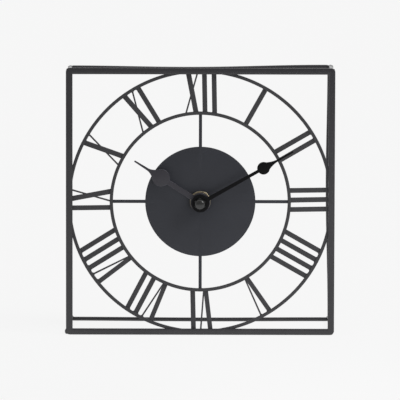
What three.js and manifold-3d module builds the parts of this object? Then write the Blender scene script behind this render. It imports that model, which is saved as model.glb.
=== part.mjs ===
// Square metal mantel clock: a flat front frame with an open dial of two rings and twelve Roman
// numerals, a rear loop of round rod on four corner struts, and a battery movement with two hands.
// Millimetres, +Z up, the dial faces -Y. The origin is under the middle of the whole clock.

import * as THREE from "three";
import { mergeVertices } from "three/addons/utils/BufferGeometryUtils.js";
import Module from "manifold-3d";

const wasm = await Module();
wasm.setup();

// Front frame
const FRAME_SIZE = 200;
const BAR_WIDTH = 4.5;
const FRAME_SHEET = 1.5;
const FRAME_CORNER = 2.3;

// Rear loop and corner struts
const FRAME_DEPTH = 72.5;
const ROD_DIAMETER = 3;
const ROD_BEND = 2.5;
const REAR_DROP = 4.6;
const TOP_ROD_SAG = 1.3;
const SIDE_ROD_BOW = 1.4;
const STRUT_DIAMETER = 3;

// Dial rings, disc and spokes
const RING_SHEET = 1;
const OUTER_RING_INSET = 1.15;
const OUTER_RING_WIDTH = 2.25;
const INNER_RING_RADIUS = 67.45;
const INNER_RING_WIDTH = 2.25;
const DISC_SHEET = 1;
const DISC_RADIUS = 40.95;
const SPOKE_WIDTH = 2.15;
const SPOKE_COUNT = 4;

// Numerals: what they lap behind the rings, and the widths and pitches of their strokes
const RING_LAP = 1;
const LAP_BAND = 0.8;
const BAR_STROKE = 3.4;
const FIVE_STROKE = 3.25;
const TEN_STROKE = 3.6;
const THIN_STROKE = 1;
const BAR_PITCH = 7.15;
const FIVE_PITCH = 9;
const TEN_PITCH = 9.4;
const FIVE_SPREAD = 4.4;
const FIVE_SLOPE = 0.0975;
const TEN_THICK_SLOPE = 0.175;
const TEN_THIN_SLOPE = 0.3;

// Each numeral, its shift clockwise from its hour line, and its lean in degrees
const NUMERALS = [
  { text: "I", shift: 0, lean: -0.7 },
  { text: "II", shift: -0.9, lean: -0.2 },
  { text: "III", shift: -1.5, lean: -0.9 },
  { text: "IIII", shift: -1.65, lean: -0.4 },
  { text: "V", shift: -0.55, lean: 0.6 },
  { text: "VI", shift: 0.7, lean: -1.3 },
  { text: "VII", shift: -0.5, lean: -2.3 },
  { text: "VIII", shift: 1.1, lean: -1.9 },
  { text: "IX", shift: -0.1, lean: -0.8 },
  { text: "X", shift: -2.4, lean: -0.5 },
  { text: "XI", shift: -2.05, lean: -1.4 },
  { text: "XII", shift: 1.95, lean: -1.1 },
];

// Hands: lengths run from the hub, angles clockwise from twelve
const HAND_SHEET = 0.5;
const COLLAR_LENGTH = 1.4;
const COLLAR_WALL = 0.8;
const HOUR_HAND = {
  angle: 302.3, hub: 6.2, stemRoot: 4, stemEnd: 3.6, spade: 6.5, spadeAt: 34.6,
  flare: 42, neckAt: 46, neckWidth: 1.9, length: 58, tipWidth: 1.2,
};
const MINUTE_HAND = {
  angle: 60.6, hub: 6.6, stemRoot: 3, stemEnd: 2.4, spade: 4.7, spadeAt: 53.8,
  flare: 50, neckAt: 65.4, neckWidth: 1.6, length: 79, tipWidth: 1.2,
};
const HOUR_HAND_REACH = 6.5;
const HAND_SPACING = 5.5;
const CAP_FLATS = 8.2;
const CAP_BASE = 1.9;
const CAP_DOME_RADIUS = 3.8;
const CAP_HEIGHT = 5.5;

// Fixing stack on the threaded bushing
const BUSHING_RADIUS = 3.9;
const BUSHING_WALL = 1.1;
const RUBBER_WASHER_RADIUS = 7;
const RUBBER_WASHER_SHEET = 1;
const BRASS_WASHER_RADIUS = 7.8;
const BRASS_WASHER_SHEET = 0.6;
const WASHER_SLACK = 0.35;
const NUT_FLATS = 10.6;
const NUT_HEIGHT = 1.9;
const THREAD_END = 0.8;

// Movement case, sized by its cell and by what lies above and below the hub
const CELL_DIAMETER = 14.5;
const CELL_LENGTH = 50.5;
const CELL_NIPPLE_RADIUS = 2.75;
const CELL_NIPPLE_LENGTH = 1;
const CONTACT_ROOM = 1.55;
const CONTACT_SHEET = 0.4;
const CONTACT_WIDTH = 8;
const CONTACT_FLAT = 3;
const CASE_WALL = 1.2;
const CASE_CORNER = 5;
const CASE_ABOVE_HUB = 28;
const BAY_BELOW_HUB = 10;
const BAY_WALL = 1;
const BAY_LIP = 0.7;
const POST_RADIUS = 1.5;

// Wheels
const MOTION_MODULE = 0.4;
const CANNON_TEETH = 12;
const MINUTE_TEETH = 36;
const PINION_TEETH = 10;
const HOUR_TEETH = 40;
const TRAIN_MODULE = 0.36;
const CENTRE_TEETH = 40;
const THIRD_PINION_TEETH = 10;
const THIRD_TEETH = 36;
const WHEEL_SHEET = 0.9;
const TOOTH_RISE = 0.8;
const TOOTH_DEPTH = 1.2;
const TOOTH_TIP = 0.085;
const TOOTH_ROOT = 0.25;
const MINUTE_WHEEL_AT = THREE.MathUtils.degToRad(150);
const THIRD_WHEEL_AT = THREE.MathUtils.degToRad(60);
const ARBOR_RADIUS = 1.5;
const PIPE_RADIUS = 2.5;
const PIPE_BORE = 1.8;
const PIVOT_RADIUS = 0.8;
const MIDDLE_PLATE_SHEET = 0.8;
const KNOB_RADIUS = 5.5;
const KNOB_HEIGHT = 3.5;
const KNOB_FLUTES = 16;
const KNOB_FLUTE_DEPTH = 0.4;

// Drive parts
const COIL_LENGTH = 16;
const COIL_RADIUS = 2.4;
const COIL_FLANGE_RADIUS = 3.2;
const COIL_FLANGE = 1;
const CORE_WIDTH = 2;
const CORE_SHEET = 0.8;
const CORE_OVERHANG = 3;
const STATOR_SHEET = 0.8;
const STATOR_ARM = 2.6;
const STATOR_WEB = 7;
const ROTOR_RADIUS = 2.2;
const ROTOR_HEIGHT = 1.6;
const BOARD_WIDTH = 20;
const BOARD_HEIGHT = 11;
const BOARD_SHEET = 1;
const CRYSTAL_RADIUS = 1;
const CRYSTAL_LENGTH = 6;

// Clearances
const SLIDING_FIT = 0.15;
const RUNNING_FIT = 0.3;
const LAYER_GAP = 0.4;

// Smoothness of round forms
const RING_SEGMENTS = 48;
const DISC_SEGMENTS = 36;
const ROUND_SEGMENTS = 24;
const ROD_SIDES = 12;
const PIN_SIDES = 12;
const TIE_SEGMENTS = 4;

// Depths behind the front face of the front frame
const ringFront = FRAME_SHEET;
const sheetFront = ringFront + RING_SHEET;
const discBack = sheetFront + DISC_SHEET;
const caseFront = discBack + RUBBER_WASHER_SHEET;
const cavityFront = caseFront + CASE_WALL;
const caseBack = cavityFront + RUNNING_FIT + CELL_DIAMETER;
const cavityBack = caseBack - CASE_WALL;
const caseSplit = (cavityFront + cavityBack) / 2;
const washerFront = sheetFront - BRASS_WASHER_SHEET;
const nutFront = washerFront - NUT_HEIGHT;
const bushingEnd = nutFront - THREAD_END;
const hourHandFront = sheetFront - HOUR_HAND_REACH;
const minuteHandFront = hourHandFront - HAND_SPACING;
const capFront = minuteHandFront - CAP_HEIGHT;
const hourWheelFront = cavityFront + LAYER_GAP;
const minuteWheelFront = hourWheelFront + WHEEL_SHEET + 2 * LAYER_GAP;
const middlePlateFront = minuteWheelFront + WHEEL_SHEET + LAYER_GAP;
const centreWheelFront = middlePlateFront + MIDDLE_PLATE_SHEET + LAYER_GAP;
const thirdWheelFront = centreWheelFront + WHEEL_SHEET + LAYER_GAP;
const coreFront = thirdWheelFront + WHEEL_SHEET + LAYER_GAP;
const rodDepth = FRAME_DEPTH - ROD_DIAMETER / 2;

// Radii on the dial
const outerRingRadius = FRAME_SIZE / 2 - OUTER_RING_INSET;
const outerRingBore = outerRingRadius - OUTER_RING_WIDTH;
const innerRingBore = INNER_RING_RADIUS - INNER_RING_WIDTH;
const numeralFoot = INNER_RING_RADIUS - RING_LAP;
const numeralHead = outerRingBore + RING_LAP;
const numeralMiddle = (INNER_RING_RADIUS + outerRingBore) / 2;
const spokeEnd = numeralFoot - RUNNING_FIT;

// Movement case around the hub, in the dial plane
const bayHeight = CELL_DIAMETER + 2 * BAY_LIP;
const bayTop = -BAY_BELOW_HUB - BAY_WALL;
const bayFloor = bayTop - bayHeight;
const caseBottom = bayFloor - CASE_WALL;
const caseWidth = CELL_LENGTH + 2 * (CONTACT_ROOM + CASE_WALL);
const bayHalf = caseWidth / 2 - CASE_WALL;
const cellAxis = bayTop - bayHeight / 2;
const cellDepth = caseBack - CELL_DIAMETER / 2;

// Wheel centres
const motionDistance = (MOTION_MODULE * (CANNON_TEETH + MINUTE_TEETH)) / 2;
const hourModule = (2 * motionDistance) / (PINION_TEETH + HOUR_TEETH);
const trainDistance = (TRAIN_MODULE * (CENTRE_TEETH + THIRD_PINION_TEETH)) / 2;
const minuteWheelSpot = polar(motionDistance, MINUTE_WHEEL_AT);
const thirdWheelSpot = polar(trainDistance, THIRD_WHEEL_AT);

// Bearing bosses, and the coil, rotor and board beside the wheels
const bossRadius = PIVOT_RADIUS + RUNNING_FIT + BAY_WALL;
const roomTop = CASE_ABOVE_HUB - CASE_WALL - RUNNING_FIT;
const roomHalf = bayHalf - RUNNING_FIT;
const coilAxis = roomTop - COIL_FLANGE_RADIUS;
const coilCentre = roomHalf - CORE_OVERHANG - COIL_LENGTH / 2;
const coreHalf = COIL_LENGTH / 2 + CORE_OVERHANG;
const statorFront = coreFront + CORE_SHEET;
const statorBack = statorFront + STATOR_SHEET;
const statorFloor = thirdWheelSpot.y + bossRadius + LAYER_GAP;
const rotorSpot = new THREE.Vector2(coilCentre, statorFloor + STATOR_WEB / 2);
const rotorFront = (statorFront + statorBack - ROTOR_HEIGHT) / 2;
const rotorBossFront = rotorFront + ROTOR_HEIGHT + LAYER_GAP;
const thirdBossFront = thirdWheelFront + WHEEL_SHEET + LAYER_GAP;
const boardLeft = -roomHalf + CASE_CORNER - CASE_WALL;
const boardBack = coreFront + BOARD_SHEET;

const FINISH = {
  frame: { color: 0x424245, roughness: 0.55, metalness: 0.35 },
  dial: { color: 0x3d3e41, roughness: 0.6, metalness: 0.3 },
  hourHand: { color: 0x403e42, roughness: 0.5, metalness: 0.3 },
  minuteHand: { color: 0x1a1a1b, roughness: 0.45, metalness: 0.2 },
  cap: { color: 0x141415, roughness: 0.15, metalness: 0.1 },
  brass: { color: 0xbea982, roughness: 0.3, metalness: 1 },
  rubber: { color: 0x151515, roughness: 0.9, metalness: 0 },
  casePlastic: { color: 0x1c1c1d, roughness: 0.5, metalness: 0 },
  wheelPlastic: { color: 0xe8e4da, roughness: 0.45, metalness: 0 },
  steel: { color: 0xb9bbbe, roughness: 0.3, metalness: 1 },
  cell: { color: 0x3a5f8a, roughness: 0.35, metalness: 0.2 },
  board: { color: 0x1f5a36, roughness: 0.6, metalness: 0 },
  copper: { color: 0xa9592c, roughness: 0.35, metalness: 1 },
};

// A point at a radius and an angle from +X in the dial plane.
function polar(radius, angle) {
  return new THREE.Vector2(radius * Math.cos(angle), radius * Math.sin(angle));
}

// A closed geometry as a solid that can be joined and cut.
function solid(geometry) {
  const bare = geometry.clone();
  bare.deleteAttribute("normal");
  bare.deleteAttribute("uv");
  const merged = mergeVertices(bare, 1e-4);
  const triVerts = new Uint32Array(merged.index.array);
  const vertProperties = merged.attributes.position.array;
  return new wasm.Manifold(new wasm.Mesh({ numProp: 3, vertProperties, triVerts }));
}

// A solid's surface as a geometry that a mesh can hold.
function surface(body) {
  const mesh = body.getMesh();
  const geometry = new THREE.BufferGeometry();
  geometry.setAttribute("position", new THREE.BufferAttribute(mesh.vertProperties, 3));
  geometry.setIndex(new THREE.BufferAttribute(mesh.triVerts, 1));
  geometry.computeVertexNormals();
  return geometry;
}

// Geometries joined into one body.
function join(...geometries) {
  return geometries.map(solid).reduce((whole, piece) => whole.add(piece));
}

// A flat piece: an outline in the dial plane, run back from one depth.
function plate(shape, front, thickness, curveSegments = ROUND_SEGMENTS / 2) {
  const depth = thickness;
  const geometry = new THREE.ExtrudeGeometry(shape, { depth, bevelEnabled: false, curveSegments });
  geometry.rotateX(Math.PI / 2);
  geometry.translate(0, front + thickness, 0);
  return geometry;
}

// A round piece about the depth axis, from a profile of [radius, depth] corners.
function turned(profile, segments = ROUND_SEGMENTS) {
  const corners = profile.map(([radius, depth]) => new THREE.Vector2(radius, depth));
  return new THREE.LatheGeometry(corners, segments);
}

// A tube or washer about the depth axis.
function tube(outer, bore, front, back, segments = ROUND_SEGMENTS) {
  const profile = [[bore, back], [bore, front], [outer, front], [outer, back], [bore, back]];
  return turned(profile, segments);
}

// A solid cylinder about the depth axis.
function disc(radius, front, back, segments = ROUND_SEGMENTS) {
  return turned([[0, front], [radius, front], [radius, back], [0, back]], segments);
}

// A thin pin, post or boss, or the hole for one.
function pin(radius, front, back) {
  return disc(radius, front, back, PIN_SIDES);
}

// A geometry moved to a spot in the dial plane.
function at(spot, geometry) {
  return geometry.translate(spot.x, 0, spot.y);
}

// A rectangle with corners rounded to one radius.
function roundedRectangle(left, bottom, right, top, radius) {
  const shape = new THREE.Shape();
  shape.absarc(right - radius, top - radius, radius, 0, Math.PI / 2);
  shape.absarc(left + radius, top - radius, radius, Math.PI / 2, Math.PI);
  shape.absarc(left + radius, bottom + radius, radius, Math.PI, 1.5 * Math.PI);
  shape.absarc(right - radius, bottom + radius, radius, 1.5 * Math.PI, 2 * Math.PI);
  return shape;
}

// A plain rectangle.
function rectangle(left, bottom, right, top) {
  return polygon([[left, bottom], [right, bottom], [right, top], [left, top]]);
}

function polygon(corners) {
  return new THREE.Shape(corners.map(([x, y]) => new THREE.Vector2(x, y)));
}

function circle(x, y, radius) {
  const shape = new THREE.Shape();
  shape.absarc(x, y, radius, 0, 2 * Math.PI);
  return shape;
}

// A flat ring, or a stretch of one between two angles.
function ringShape(outer, bore) {
  const shape = circle(0, 0, outer);
  shape.holes.push(circle(0, 0, bore));
  return shape;
}

function arcBand(bore, outer, start, end) {
  const shape = new THREE.Shape();
  shape.absarc(0, 0, outer, start, end, false);
  shape.absarc(0, 0, bore, end, start, true);
  return shape;
}

// The flat square of the front, with rounded outer corners and a square window.
function frontFrame() {
  const half = FRAME_SIZE / 2;
  const window = half - BAR_WIDTH;
  const shape = roundedRectangle(-half, -half, half, half, FRAME_CORNER);
  shape.holes.push(rectangle(-window, -window, window, window));
  return plate(shape, 0, FRAME_SHEET, 4);
}

// The rear loop's centre line: four sides that may bow inwards, and four quarter bends.
function rearLoopLine() {
  const half = FRAME_SIZE / 2 - ROD_DIAMETER / 2;
  const low = ROD_DIAMETER / 2;
  const high = FRAME_SIZE - REAR_DROP - ROD_DIAMETER / 2;
  const corners = [
    { x: half, z: high, turn: 0, bow: TOP_ROD_SAG },
    { x: -half, z: high, turn: 1, bow: 0 },
    { x: -half, z: low, turn: 2, bow: 0 },
    { x: half, z: low, turn: 3, bow: SIDE_ROD_BOW },
  ];
  const bendSteps = 4;
  const sideSteps = 8;
  const line = [];
  corners.forEach((corner, index) => {
    const heart = new THREE.Vector2(
      corner.x - Math.sign(corner.x) * ROD_BEND,
      corner.z - (corner.z === high ? 1 : -1) * ROD_BEND,
    );
    for (let step = 0; step <= bendSteps; step += 1) {
      const angle = (corner.turn + step / bendSteps) * (Math.PI / 2);
      line.push(polar(ROD_BEND, angle).add(heart));
    }
    const next = corners[(index + 1) % corners.length];
    const start = line[line.length - 1];
    const along = new THREE.Vector2(next.x - corner.x, next.z - corner.z);
    const span = along.length() - 2 * ROD_BEND;
    along.normalize();
    const inward = new THREE.Vector2(-along.y, along.x);
    for (let step = 1; step < sideSteps; step += 1) {
      const part = step / sideSteps;
      const bow = corner.bow * Math.sin(part * Math.PI) ** 2;
      line.push(start.clone().addScaledVector(along, part * span).addScaledVector(inward, bow));
    }
  });
  return line;
}

// The rear loop: rings of facets round each point of the centre line, joined to the next ring.
function rearFrame() {
  const line = rearLoopLine();
  const reach = ROD_DIAMETER / 2 / Math.cos(Math.PI / ROD_SIDES);
  const positions = [];
  line.forEach((point, index) => {
    const before = line[(index + line.length - 1) % line.length];
    const after = line[(index + 1) % line.length];
    const along = after.clone().sub(before).normalize();
    for (let side = 0; side < ROD_SIDES; side += 1) {
      const angle = ((side + 0.5) / ROD_SIDES) * 2 * Math.PI;
      const out = reach * Math.cos(angle);
      const back = reach * Math.sin(angle);
      positions.push(point.x + out * along.y, rodDepth + back, point.y - out * along.x);
    }
  });
  const index = [];
  for (let ring = 0; ring < line.length; ring += 1) {
    const nextRing = (ring + 1) % line.length;
    for (let side = 0; side < ROD_SIDES; side += 1) {
      const nextSide = (side + 1) % ROD_SIDES;
      const a = ring * ROD_SIDES + side;
      const b = ring * ROD_SIDES + nextSide;
      const c = nextRing * ROD_SIDES + side;
      const d = nextRing * ROD_SIDES + nextSide;
      index.push(a, b, c, b, d, c);
    }
  }
  const geometry = new THREE.BufferGeometry();
  geometry.setAttribute("position", new THREE.Float32BufferAttribute(positions, 3));
  geometry.setIndex(index);
  geometry.computeVertexNormals();
  return geometry;
}

// A strut from a front corner back to the bend of the rear loop, sloping where the loop is lower.
function cornerStrut(side, isTop) {
  const inset = ROD_DIAMETER / 2 + ROD_BEND * (1 - Math.SQRT1_2);
  const front = FRAME_SHEET;
  const back = rodDepth - ROD_DIAMETER / 2 - RUNNING_FIT;
  const drop = isTop ? REAR_DROP : 0;
  const slope = -drop / (rodDepth - front);
  const strut = disc(STRUT_DIAMETER / 2, front, back, ROD_SIDES);
  const shear = new THREE.Matrix4().set(1, 0, 0, 0, 0, 1, 0, 0, 0, slope, 1, 0, 0, 0, 0, 1);
  strut.translate(0, -front, 0).applyMatrix4(shear).translate(0, front, 0);
  const x = side * (FRAME_SIZE / 2 - inset);
  const z = isTop ? FRAME_SIZE - inset : inset;
  return strut.translate(x, 0, z);
}

// The centre disc, its hole for the bushing, and the spokes that carry it on the inner ring.
function centreDisc() {
  const round = circle(0, 0, DISC_RADIUS);
  round.holes.push(circle(0, 0, BUSHING_RADIUS + SLIDING_FIT));
  let body = solid(plate(round, sheetFront, DISC_SHEET, DISC_SEGMENTS));
  const root = DISC_RADIUS * 0.9;
  for (let spoke = 0; spoke < SPOKE_COUNT; spoke += 1) {
    const shape = rectangle(root, -SPOKE_WIDTH / 2, spokeEnd, SPOKE_WIDTH / 2);
    const bar = plate(shape, sheetFront, DISC_SHEET);
    bar.rotateY((spoke * 2 * Math.PI) / SPOKE_COUNT);
    body = body.add(solid(bar));
  }
  return surface(body);
}

// The strokes of one letter: each a place across, a slope and a width.
function letterStrokes(letter) {
  if (letter === "V") {
    return [
      { x: -FIVE_SPREAD / 2, slope: -FIVE_SLOPE, width: FIVE_STROKE },
      { x: FIVE_SPREAD / 2, slope: FIVE_SLOPE, width: THIN_STROKE },
    ];
  }
  if (letter === "X") {
    return [
      { x: 0, slope: -TEN_THICK_SLOPE, width: TEN_STROKE },
      { x: 0, slope: TEN_THIN_SLOPE, width: THIN_STROKE },
    ];
  }
  return [{ x: 0, slope: 0, width: BAR_STROKE }];
}

// The distance between two letters side by side.
function letterPitch(first, second) {
  const pair = first + second;
  if (pair.includes("X")) return TEN_PITCH;
  return pair.includes("V") ? FIVE_PITCH : BAR_PITCH;
}

// All strokes of a numeral, spread about its middle.
function numeralStrokes({ text, shift, lean }) {
  const letters = [...text];
  const places = letters.reduce((list, letter, index) => {
    const last = list[index - 1];
    return [...list, index ? last + letterPitch(letters[index - 1], letter) : 0];
  }, []);
  const middle = places[places.length - 1] / 2;
  const tilt = Math.tan(THREE.MathUtils.degToRad(lean));
  return letters.flatMap((letter, index) =>
    letterStrokes(letter).map(({ x, slope, width }) => ({
      x: x + places[index] - middle + shift,
      slope: slope + tilt,
      width: width * Math.hypot(1, slope + tilt),
    })),
  );
}

// A numeral: strokes from ring to ring, with a narrow band behind each ring that ties them.
function numeral(spec, hour) {
  const strokes = numeralStrokes(spec);
  const reach = RING_LAP + BAR_STROKE;
  const low = numeralFoot - reach;
  const high = numeralHead + reach;
  const edgeAt = (stroke, radius, side) =>
    stroke.x + (radius - numeralMiddle) * stroke.slope + (side * stroke.width) / 2;
  const bars = strokes.map((stroke) =>
    plate(
      polygon([
        [edgeAt(stroke, low, -1), low],
        [edgeAt(stroke, low, 1), low],
        [edgeAt(stroke, high, 1), high],
        [edgeAt(stroke, high, -1), high],
      ]),
      sheetFront,
      DISC_SHEET,
    ),
  );
  const band = plate(ringShape(numeralHead, numeralFoot), sheetFront, DISC_SHEET, RING_SEGMENTS);
  const tie = (bore, outer) => {
    const places = strokes.map((stroke) => edgeAt(stroke, bore, 0));
    const start = Math.acos(Math.max(...places) / bore);
    const end = Math.acos(Math.min(...places) / bore);
    return plate(arcBand(bore, outer, start, end), sheetFront, DISC_SHEET, TIE_SEGMENTS);
  };
  const ties = [
    tie(numeralFoot - RING_LAP, numeralFoot + LAP_BAND),
    tie(numeralHead - LAP_BAND, numeralHead + RING_LAP),
  ];
  const pieces = strokes.length > 1 ? [...bars, ...ties] : bars;
  return surface(join(...pieces).intersect(solid(band))).rotateY((hour * Math.PI) / 6);
}

// A spade hand's outline, pointing up from its hub.
function handShape(hand) {
  const shape = new THREE.Shape();
  const hubAngle = Math.asin(hand.stemRoot / 2 / hand.hub);
  const stemAngle = Math.asin(hand.stemEnd / 2 / hand.spade);
  const flare = THREE.MathUtils.degToRad(hand.flare);
  const side = hand.spade * Math.cos(flare);
  const rise = hand.spadeAt + hand.spade * Math.sin(flare);
  const pull = rise + (hand.neckAt - rise) * 0.45;
  const right = Math.PI / 2;
  shape.absarc(0, 0, hand.hub, right + hubAngle, right - hubAngle + 2 * Math.PI, false);
  shape.absarc(0, hand.spadeAt, hand.spade, stemAngle - right, flare, false);
  shape.quadraticCurveTo(hand.neckWidth / 2 + side * 0.12, pull, hand.neckWidth / 2, hand.neckAt);
  shape.lineTo(hand.tipWidth / 2, hand.length);
  shape.lineTo(-hand.tipWidth / 2, hand.length);
  shape.lineTo(-hand.neckWidth / 2, hand.neckAt);
  shape.quadraticCurveTo(-hand.neckWidth / 2 - side * 0.12, pull, -side, rise);
  shape.absarc(0, hand.spadeAt, hand.spade, Math.PI - flare, 3 * right - stemAngle, false);
  return shape;
}

// A hand with its collar, on a shaft of one radius, turned to its place on the dial.
function handGeometry(hand, front, shaft) {
  const bore = shaft + SLIDING_FIT;
  const back = front + HAND_SHEET;
  const blade = solid(plate(handShape(hand), front, HAND_SHEET));
  const collar = solid(disc(bore + COLLAR_WALL, back - HAND_SHEET / 2, back + COLLAR_LENGTH));
  const hole = solid(disc(bore, front - 1, back + COLLAR_LENGTH + 1));
  const body = surface(blade.add(collar).subtract(hole));
  return body.rotateY(THREE.MathUtils.degToRad(hand.angle));
}

// A hexagon of a given width across its flats, with one corner at the turn angle.
function hexagon(flats, turn) {
  const corner = flats / 2 / Math.cos(Math.PI / 6);
  const corners = Array.from({ length: 6 }, (_, index) => {
    const spot = polar(corner, turn + (index * Math.PI) / 3);
    return [spot.x, spot.y];
  });
  return polygon(corners);
}

// The acorn nut on the end of the arbor: a dome on a hexagon that stands on its corner.
function handCap() {
  const shoulder = minuteHandFront - CAP_BASE;
  const domeSteps = 6;
  const profile = [];
  for (let step = 0; step <= domeSteps; step += 1) {
    const angle = (step / domeSteps) * (Math.PI / 2);
    const rise = (shoulder - capFront) * Math.cos(angle);
    profile.push([CAP_DOME_RADIUS * Math.sin(angle), shoulder - rise]);
  }
  profile.push([CAP_DOME_RADIUS, minuteHandFront], [0, minuteHandFront]);
  const base = plate(hexagon(CAP_FLATS, Math.PI / 2), shoulder, CAP_BASE);
  return surface(join(turned(profile), base));
}

// The nut that draws the case against the disc.
function hexNut() {
  const shape = hexagon(NUT_FLATS, 0);
  shape.holes.push(circle(0, 0, BUSHING_RADIUS + SLIDING_FIT));
  return plate(shape, nutFront, NUT_HEIGHT);
}

// A wheel's toothed outline, with a tooth at the phase angle.
function gearShape(teeth, module, phase) {
  const tip = module * (teeth / 2 + TOOTH_RISE);
  const root = module * (teeth / 2 - TOOTH_DEPTH);
  const pitch = (2 * Math.PI) / teeth;
  const corners = [];
  for (let tooth = 0; tooth < teeth; tooth += 1) {
    const flanks = [[root, -TOOTH_ROOT], [tip, -TOOTH_TIP], [tip, TOOTH_TIP], [root, TOOTH_ROOT]];
    for (const [radius, part] of flanks) {
      const spot = polar(radius, (tooth + part) * pitch + phase);
      corners.push([spot.x, spot.y]);
    }
  }
  return polygon(corners);
}

// The phase that puts a tooth space opposite a tooth of the wheel it meets.
function spaceTowards(angle, teeth) {
  return angle + Math.PI + Math.PI / teeth;
}

// The hour wheel with the pipe that carries the hour hand.
function hourWheel() {
  const shape = gearShape(HOUR_TEETH, hourModule, MINUTE_WHEEL_AT);
  const pipeRoot = hourWheelFront + WHEEL_SHEET;
  const pipe = solid(disc(PIPE_RADIUS, hourHandFront, pipeRoot));
  const bore = solid(disc(PIPE_BORE, hourHandFront - 1, pipeRoot + 1));
  return surface(solid(plate(shape, hourWheelFront, WHEEL_SHEET)).add(pipe).subtract(bore));
}

// The arbor through the middle, with the cannon pinion and the centre wheel.
function centreArbor() {
  const pinion = gearShape(CANNON_TEETH, MOTION_MODULE, MINUTE_WHEEL_AT);
  const wheel = gearShape(CENTRE_TEETH, TRAIN_MODULE, THIRD_WHEEL_AT);
  return surface(
    join(
      disc(ARBOR_RADIUS, minuteHandFront, cavityBack - RUNNING_FIT),
      plate(pinion, minuteWheelFront, WHEEL_SHEET),
      plate(wheel, centreWheelFront, WHEEL_SHEET),
    ),
  );
}

// The minute wheel and pinion of the motion work, on the arbor that the setting knob turns.
function minuteWheel() {
  const wheel = gearShape(MINUTE_TEETH, MOTION_MODULE, spaceTowards(MINUTE_WHEEL_AT, MINUTE_TEETH));
  const pinion = gearShape(PINION_TEETH, hourModule, spaceTowards(MINUTE_WHEEL_AT, PINION_TEETH));
  const body = join(
    pin(PIVOT_RADIUS, caseFront + CASE_WALL / 2 + SLIDING_FIT, caseBack + RUNNING_FIT),
    plate(pinion, hourWheelFront, minuteWheelFront - hourWheelFront + WHEEL_SHEET / 2),
    plate(wheel, minuteWheelFront, WHEEL_SHEET),
  );
  return at(minuteWheelSpot, surface(body));
}

// The fluted knob on the back of the case, seated on the end of the minute wheel's arbor.
function settingKnob() {
  const front = caseBack + RUNNING_FIT;
  const steps = 4 * KNOB_FLUTES;
  const corners = Array.from({ length: steps }, (_, index) => {
    const angle = (index / steps) * 2 * Math.PI;
    const flute = (KNOB_FLUTE_DEPTH / 2) * (1 - Math.cos(angle * KNOB_FLUTES));
    const spot = polar(KNOB_RADIUS - flute, angle);
    return [spot.x, spot.y];
  });
  return at(minuteWheelSpot, plate(polygon(corners), front, KNOB_HEIGHT));
}

// The third wheel and its pinion, between the middle plate and a boss on the case back.
function thirdWheel() {
  const wheel = gearShape(THIRD_TEETH, TRAIN_MODULE, 0);
  const phase = spaceTowards(THIRD_WHEEL_AT, THIRD_PINION_TEETH);
  const pinion = gearShape(THIRD_PINION_TEETH, TRAIN_MODULE, phase);
  const body = join(
    pin(PIVOT_RADIUS, middlePlateFront, thirdBossFront + CASE_WALL),
    plate(pinion, centreWheelFront, thirdWheelFront - centreWheelFront + WHEEL_SHEET / 2),
    plate(wheel, thirdWheelFront, WHEEL_SHEET),
  );
  return at(thirdWheelSpot, surface(body));
}

// A box-shaped solid between two depths.
function block(left, bottom, right, top, front, back) {
  return solid(plate(rectangle(left, bottom, right, top), front, back - front));
}

// The outline of the movement case, drawn in by an inset.
function caseOutline(inset) {
  const half = caseWidth / 2 - inset;
  const radius = CASE_CORNER - inset;
  return roundedRectangle(-half, caseBottom + inset, half, CASE_ABOVE_HUB - inset, radius);
}

// A tray with the case's outline: a plate and a wall round it.
function caseTray(plateFront, plateBack, openFront, openBack) {
  const front = Math.min(plateFront, openFront);
  const back = Math.max(plateBack, openBack);
  const whole = solid(plate(caseOutline(0), front, back - front, 4));
  const room = plate(caseOutline(CASE_WALL), openFront, openBack - openFront, 4);
  return whole.subtract(solid(room));
}

// Places of the four posts that carry the middle plate.
function platePosts() {
  const x = roomHalf - POST_RADIUS;
  const high = roomTop - POST_RADIUS;
  const low = POST_RADIUS + RUNNING_FIT - BAY_BELOW_HUB;
  return [[-x, high], [x, high], [-x, low], [x, low]].map(([u, w]) => new THREE.Vector2(u, w));
}

// Places of the two posts behind the circuit board.
function boardPosts() {
  const height = roomTop - BOARD_HEIGHT / 2;
  const inset = 2 * POST_RADIUS;
  return [boardLeft + inset, boardLeft + BOARD_WIDTH - inset].map(
    (x) => new THREE.Vector2(x, height),
  );
}

// Places of the two posts behind the stator's arms.
function statorPosts() {
  const reach = coreHalf - STATOR_ARM / 2;
  return [-reach, reach].map((x) => new THREE.Vector2(coilCentre + x, coilAxis));
}

// The bay wall's stretch inside one half of the case.
function bayWall(front, back) {
  const end = bayHalf + CASE_WALL / 2;
  return block(-end, bayTop, end, bayTop + BAY_WALL, front, back);
}

// The dial side of the case: a tray with the threaded bushing, the bay wall and four posts.
function caseFrontHalf() {
  const rooted = cavityFront - CASE_WALL / 2;
  const body = platePosts()
    .map((spot) => solid(at(spot, pin(POST_RADIUS, rooted, middlePlateFront))))
    .reduce((whole, post) => whole.add(post), caseTray(caseFront, cavityFront, cavityFront, caseSplit))
    .add(solid(disc(BUSHING_RADIUS, bushingEnd, cavityFront)))
    .add(bayWall(rooted, caseSplit))
    .subtract(solid(disc(BUSHING_RADIUS - BUSHING_WALL, bushingEnd - 1, cavityFront + 1)));
  const seat = pin(PIVOT_RADIUS + SLIDING_FIT, rooted, cavityFront + 1);
  return surface(body.subtract(solid(at(minuteWheelSpot, seat))));
}

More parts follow.
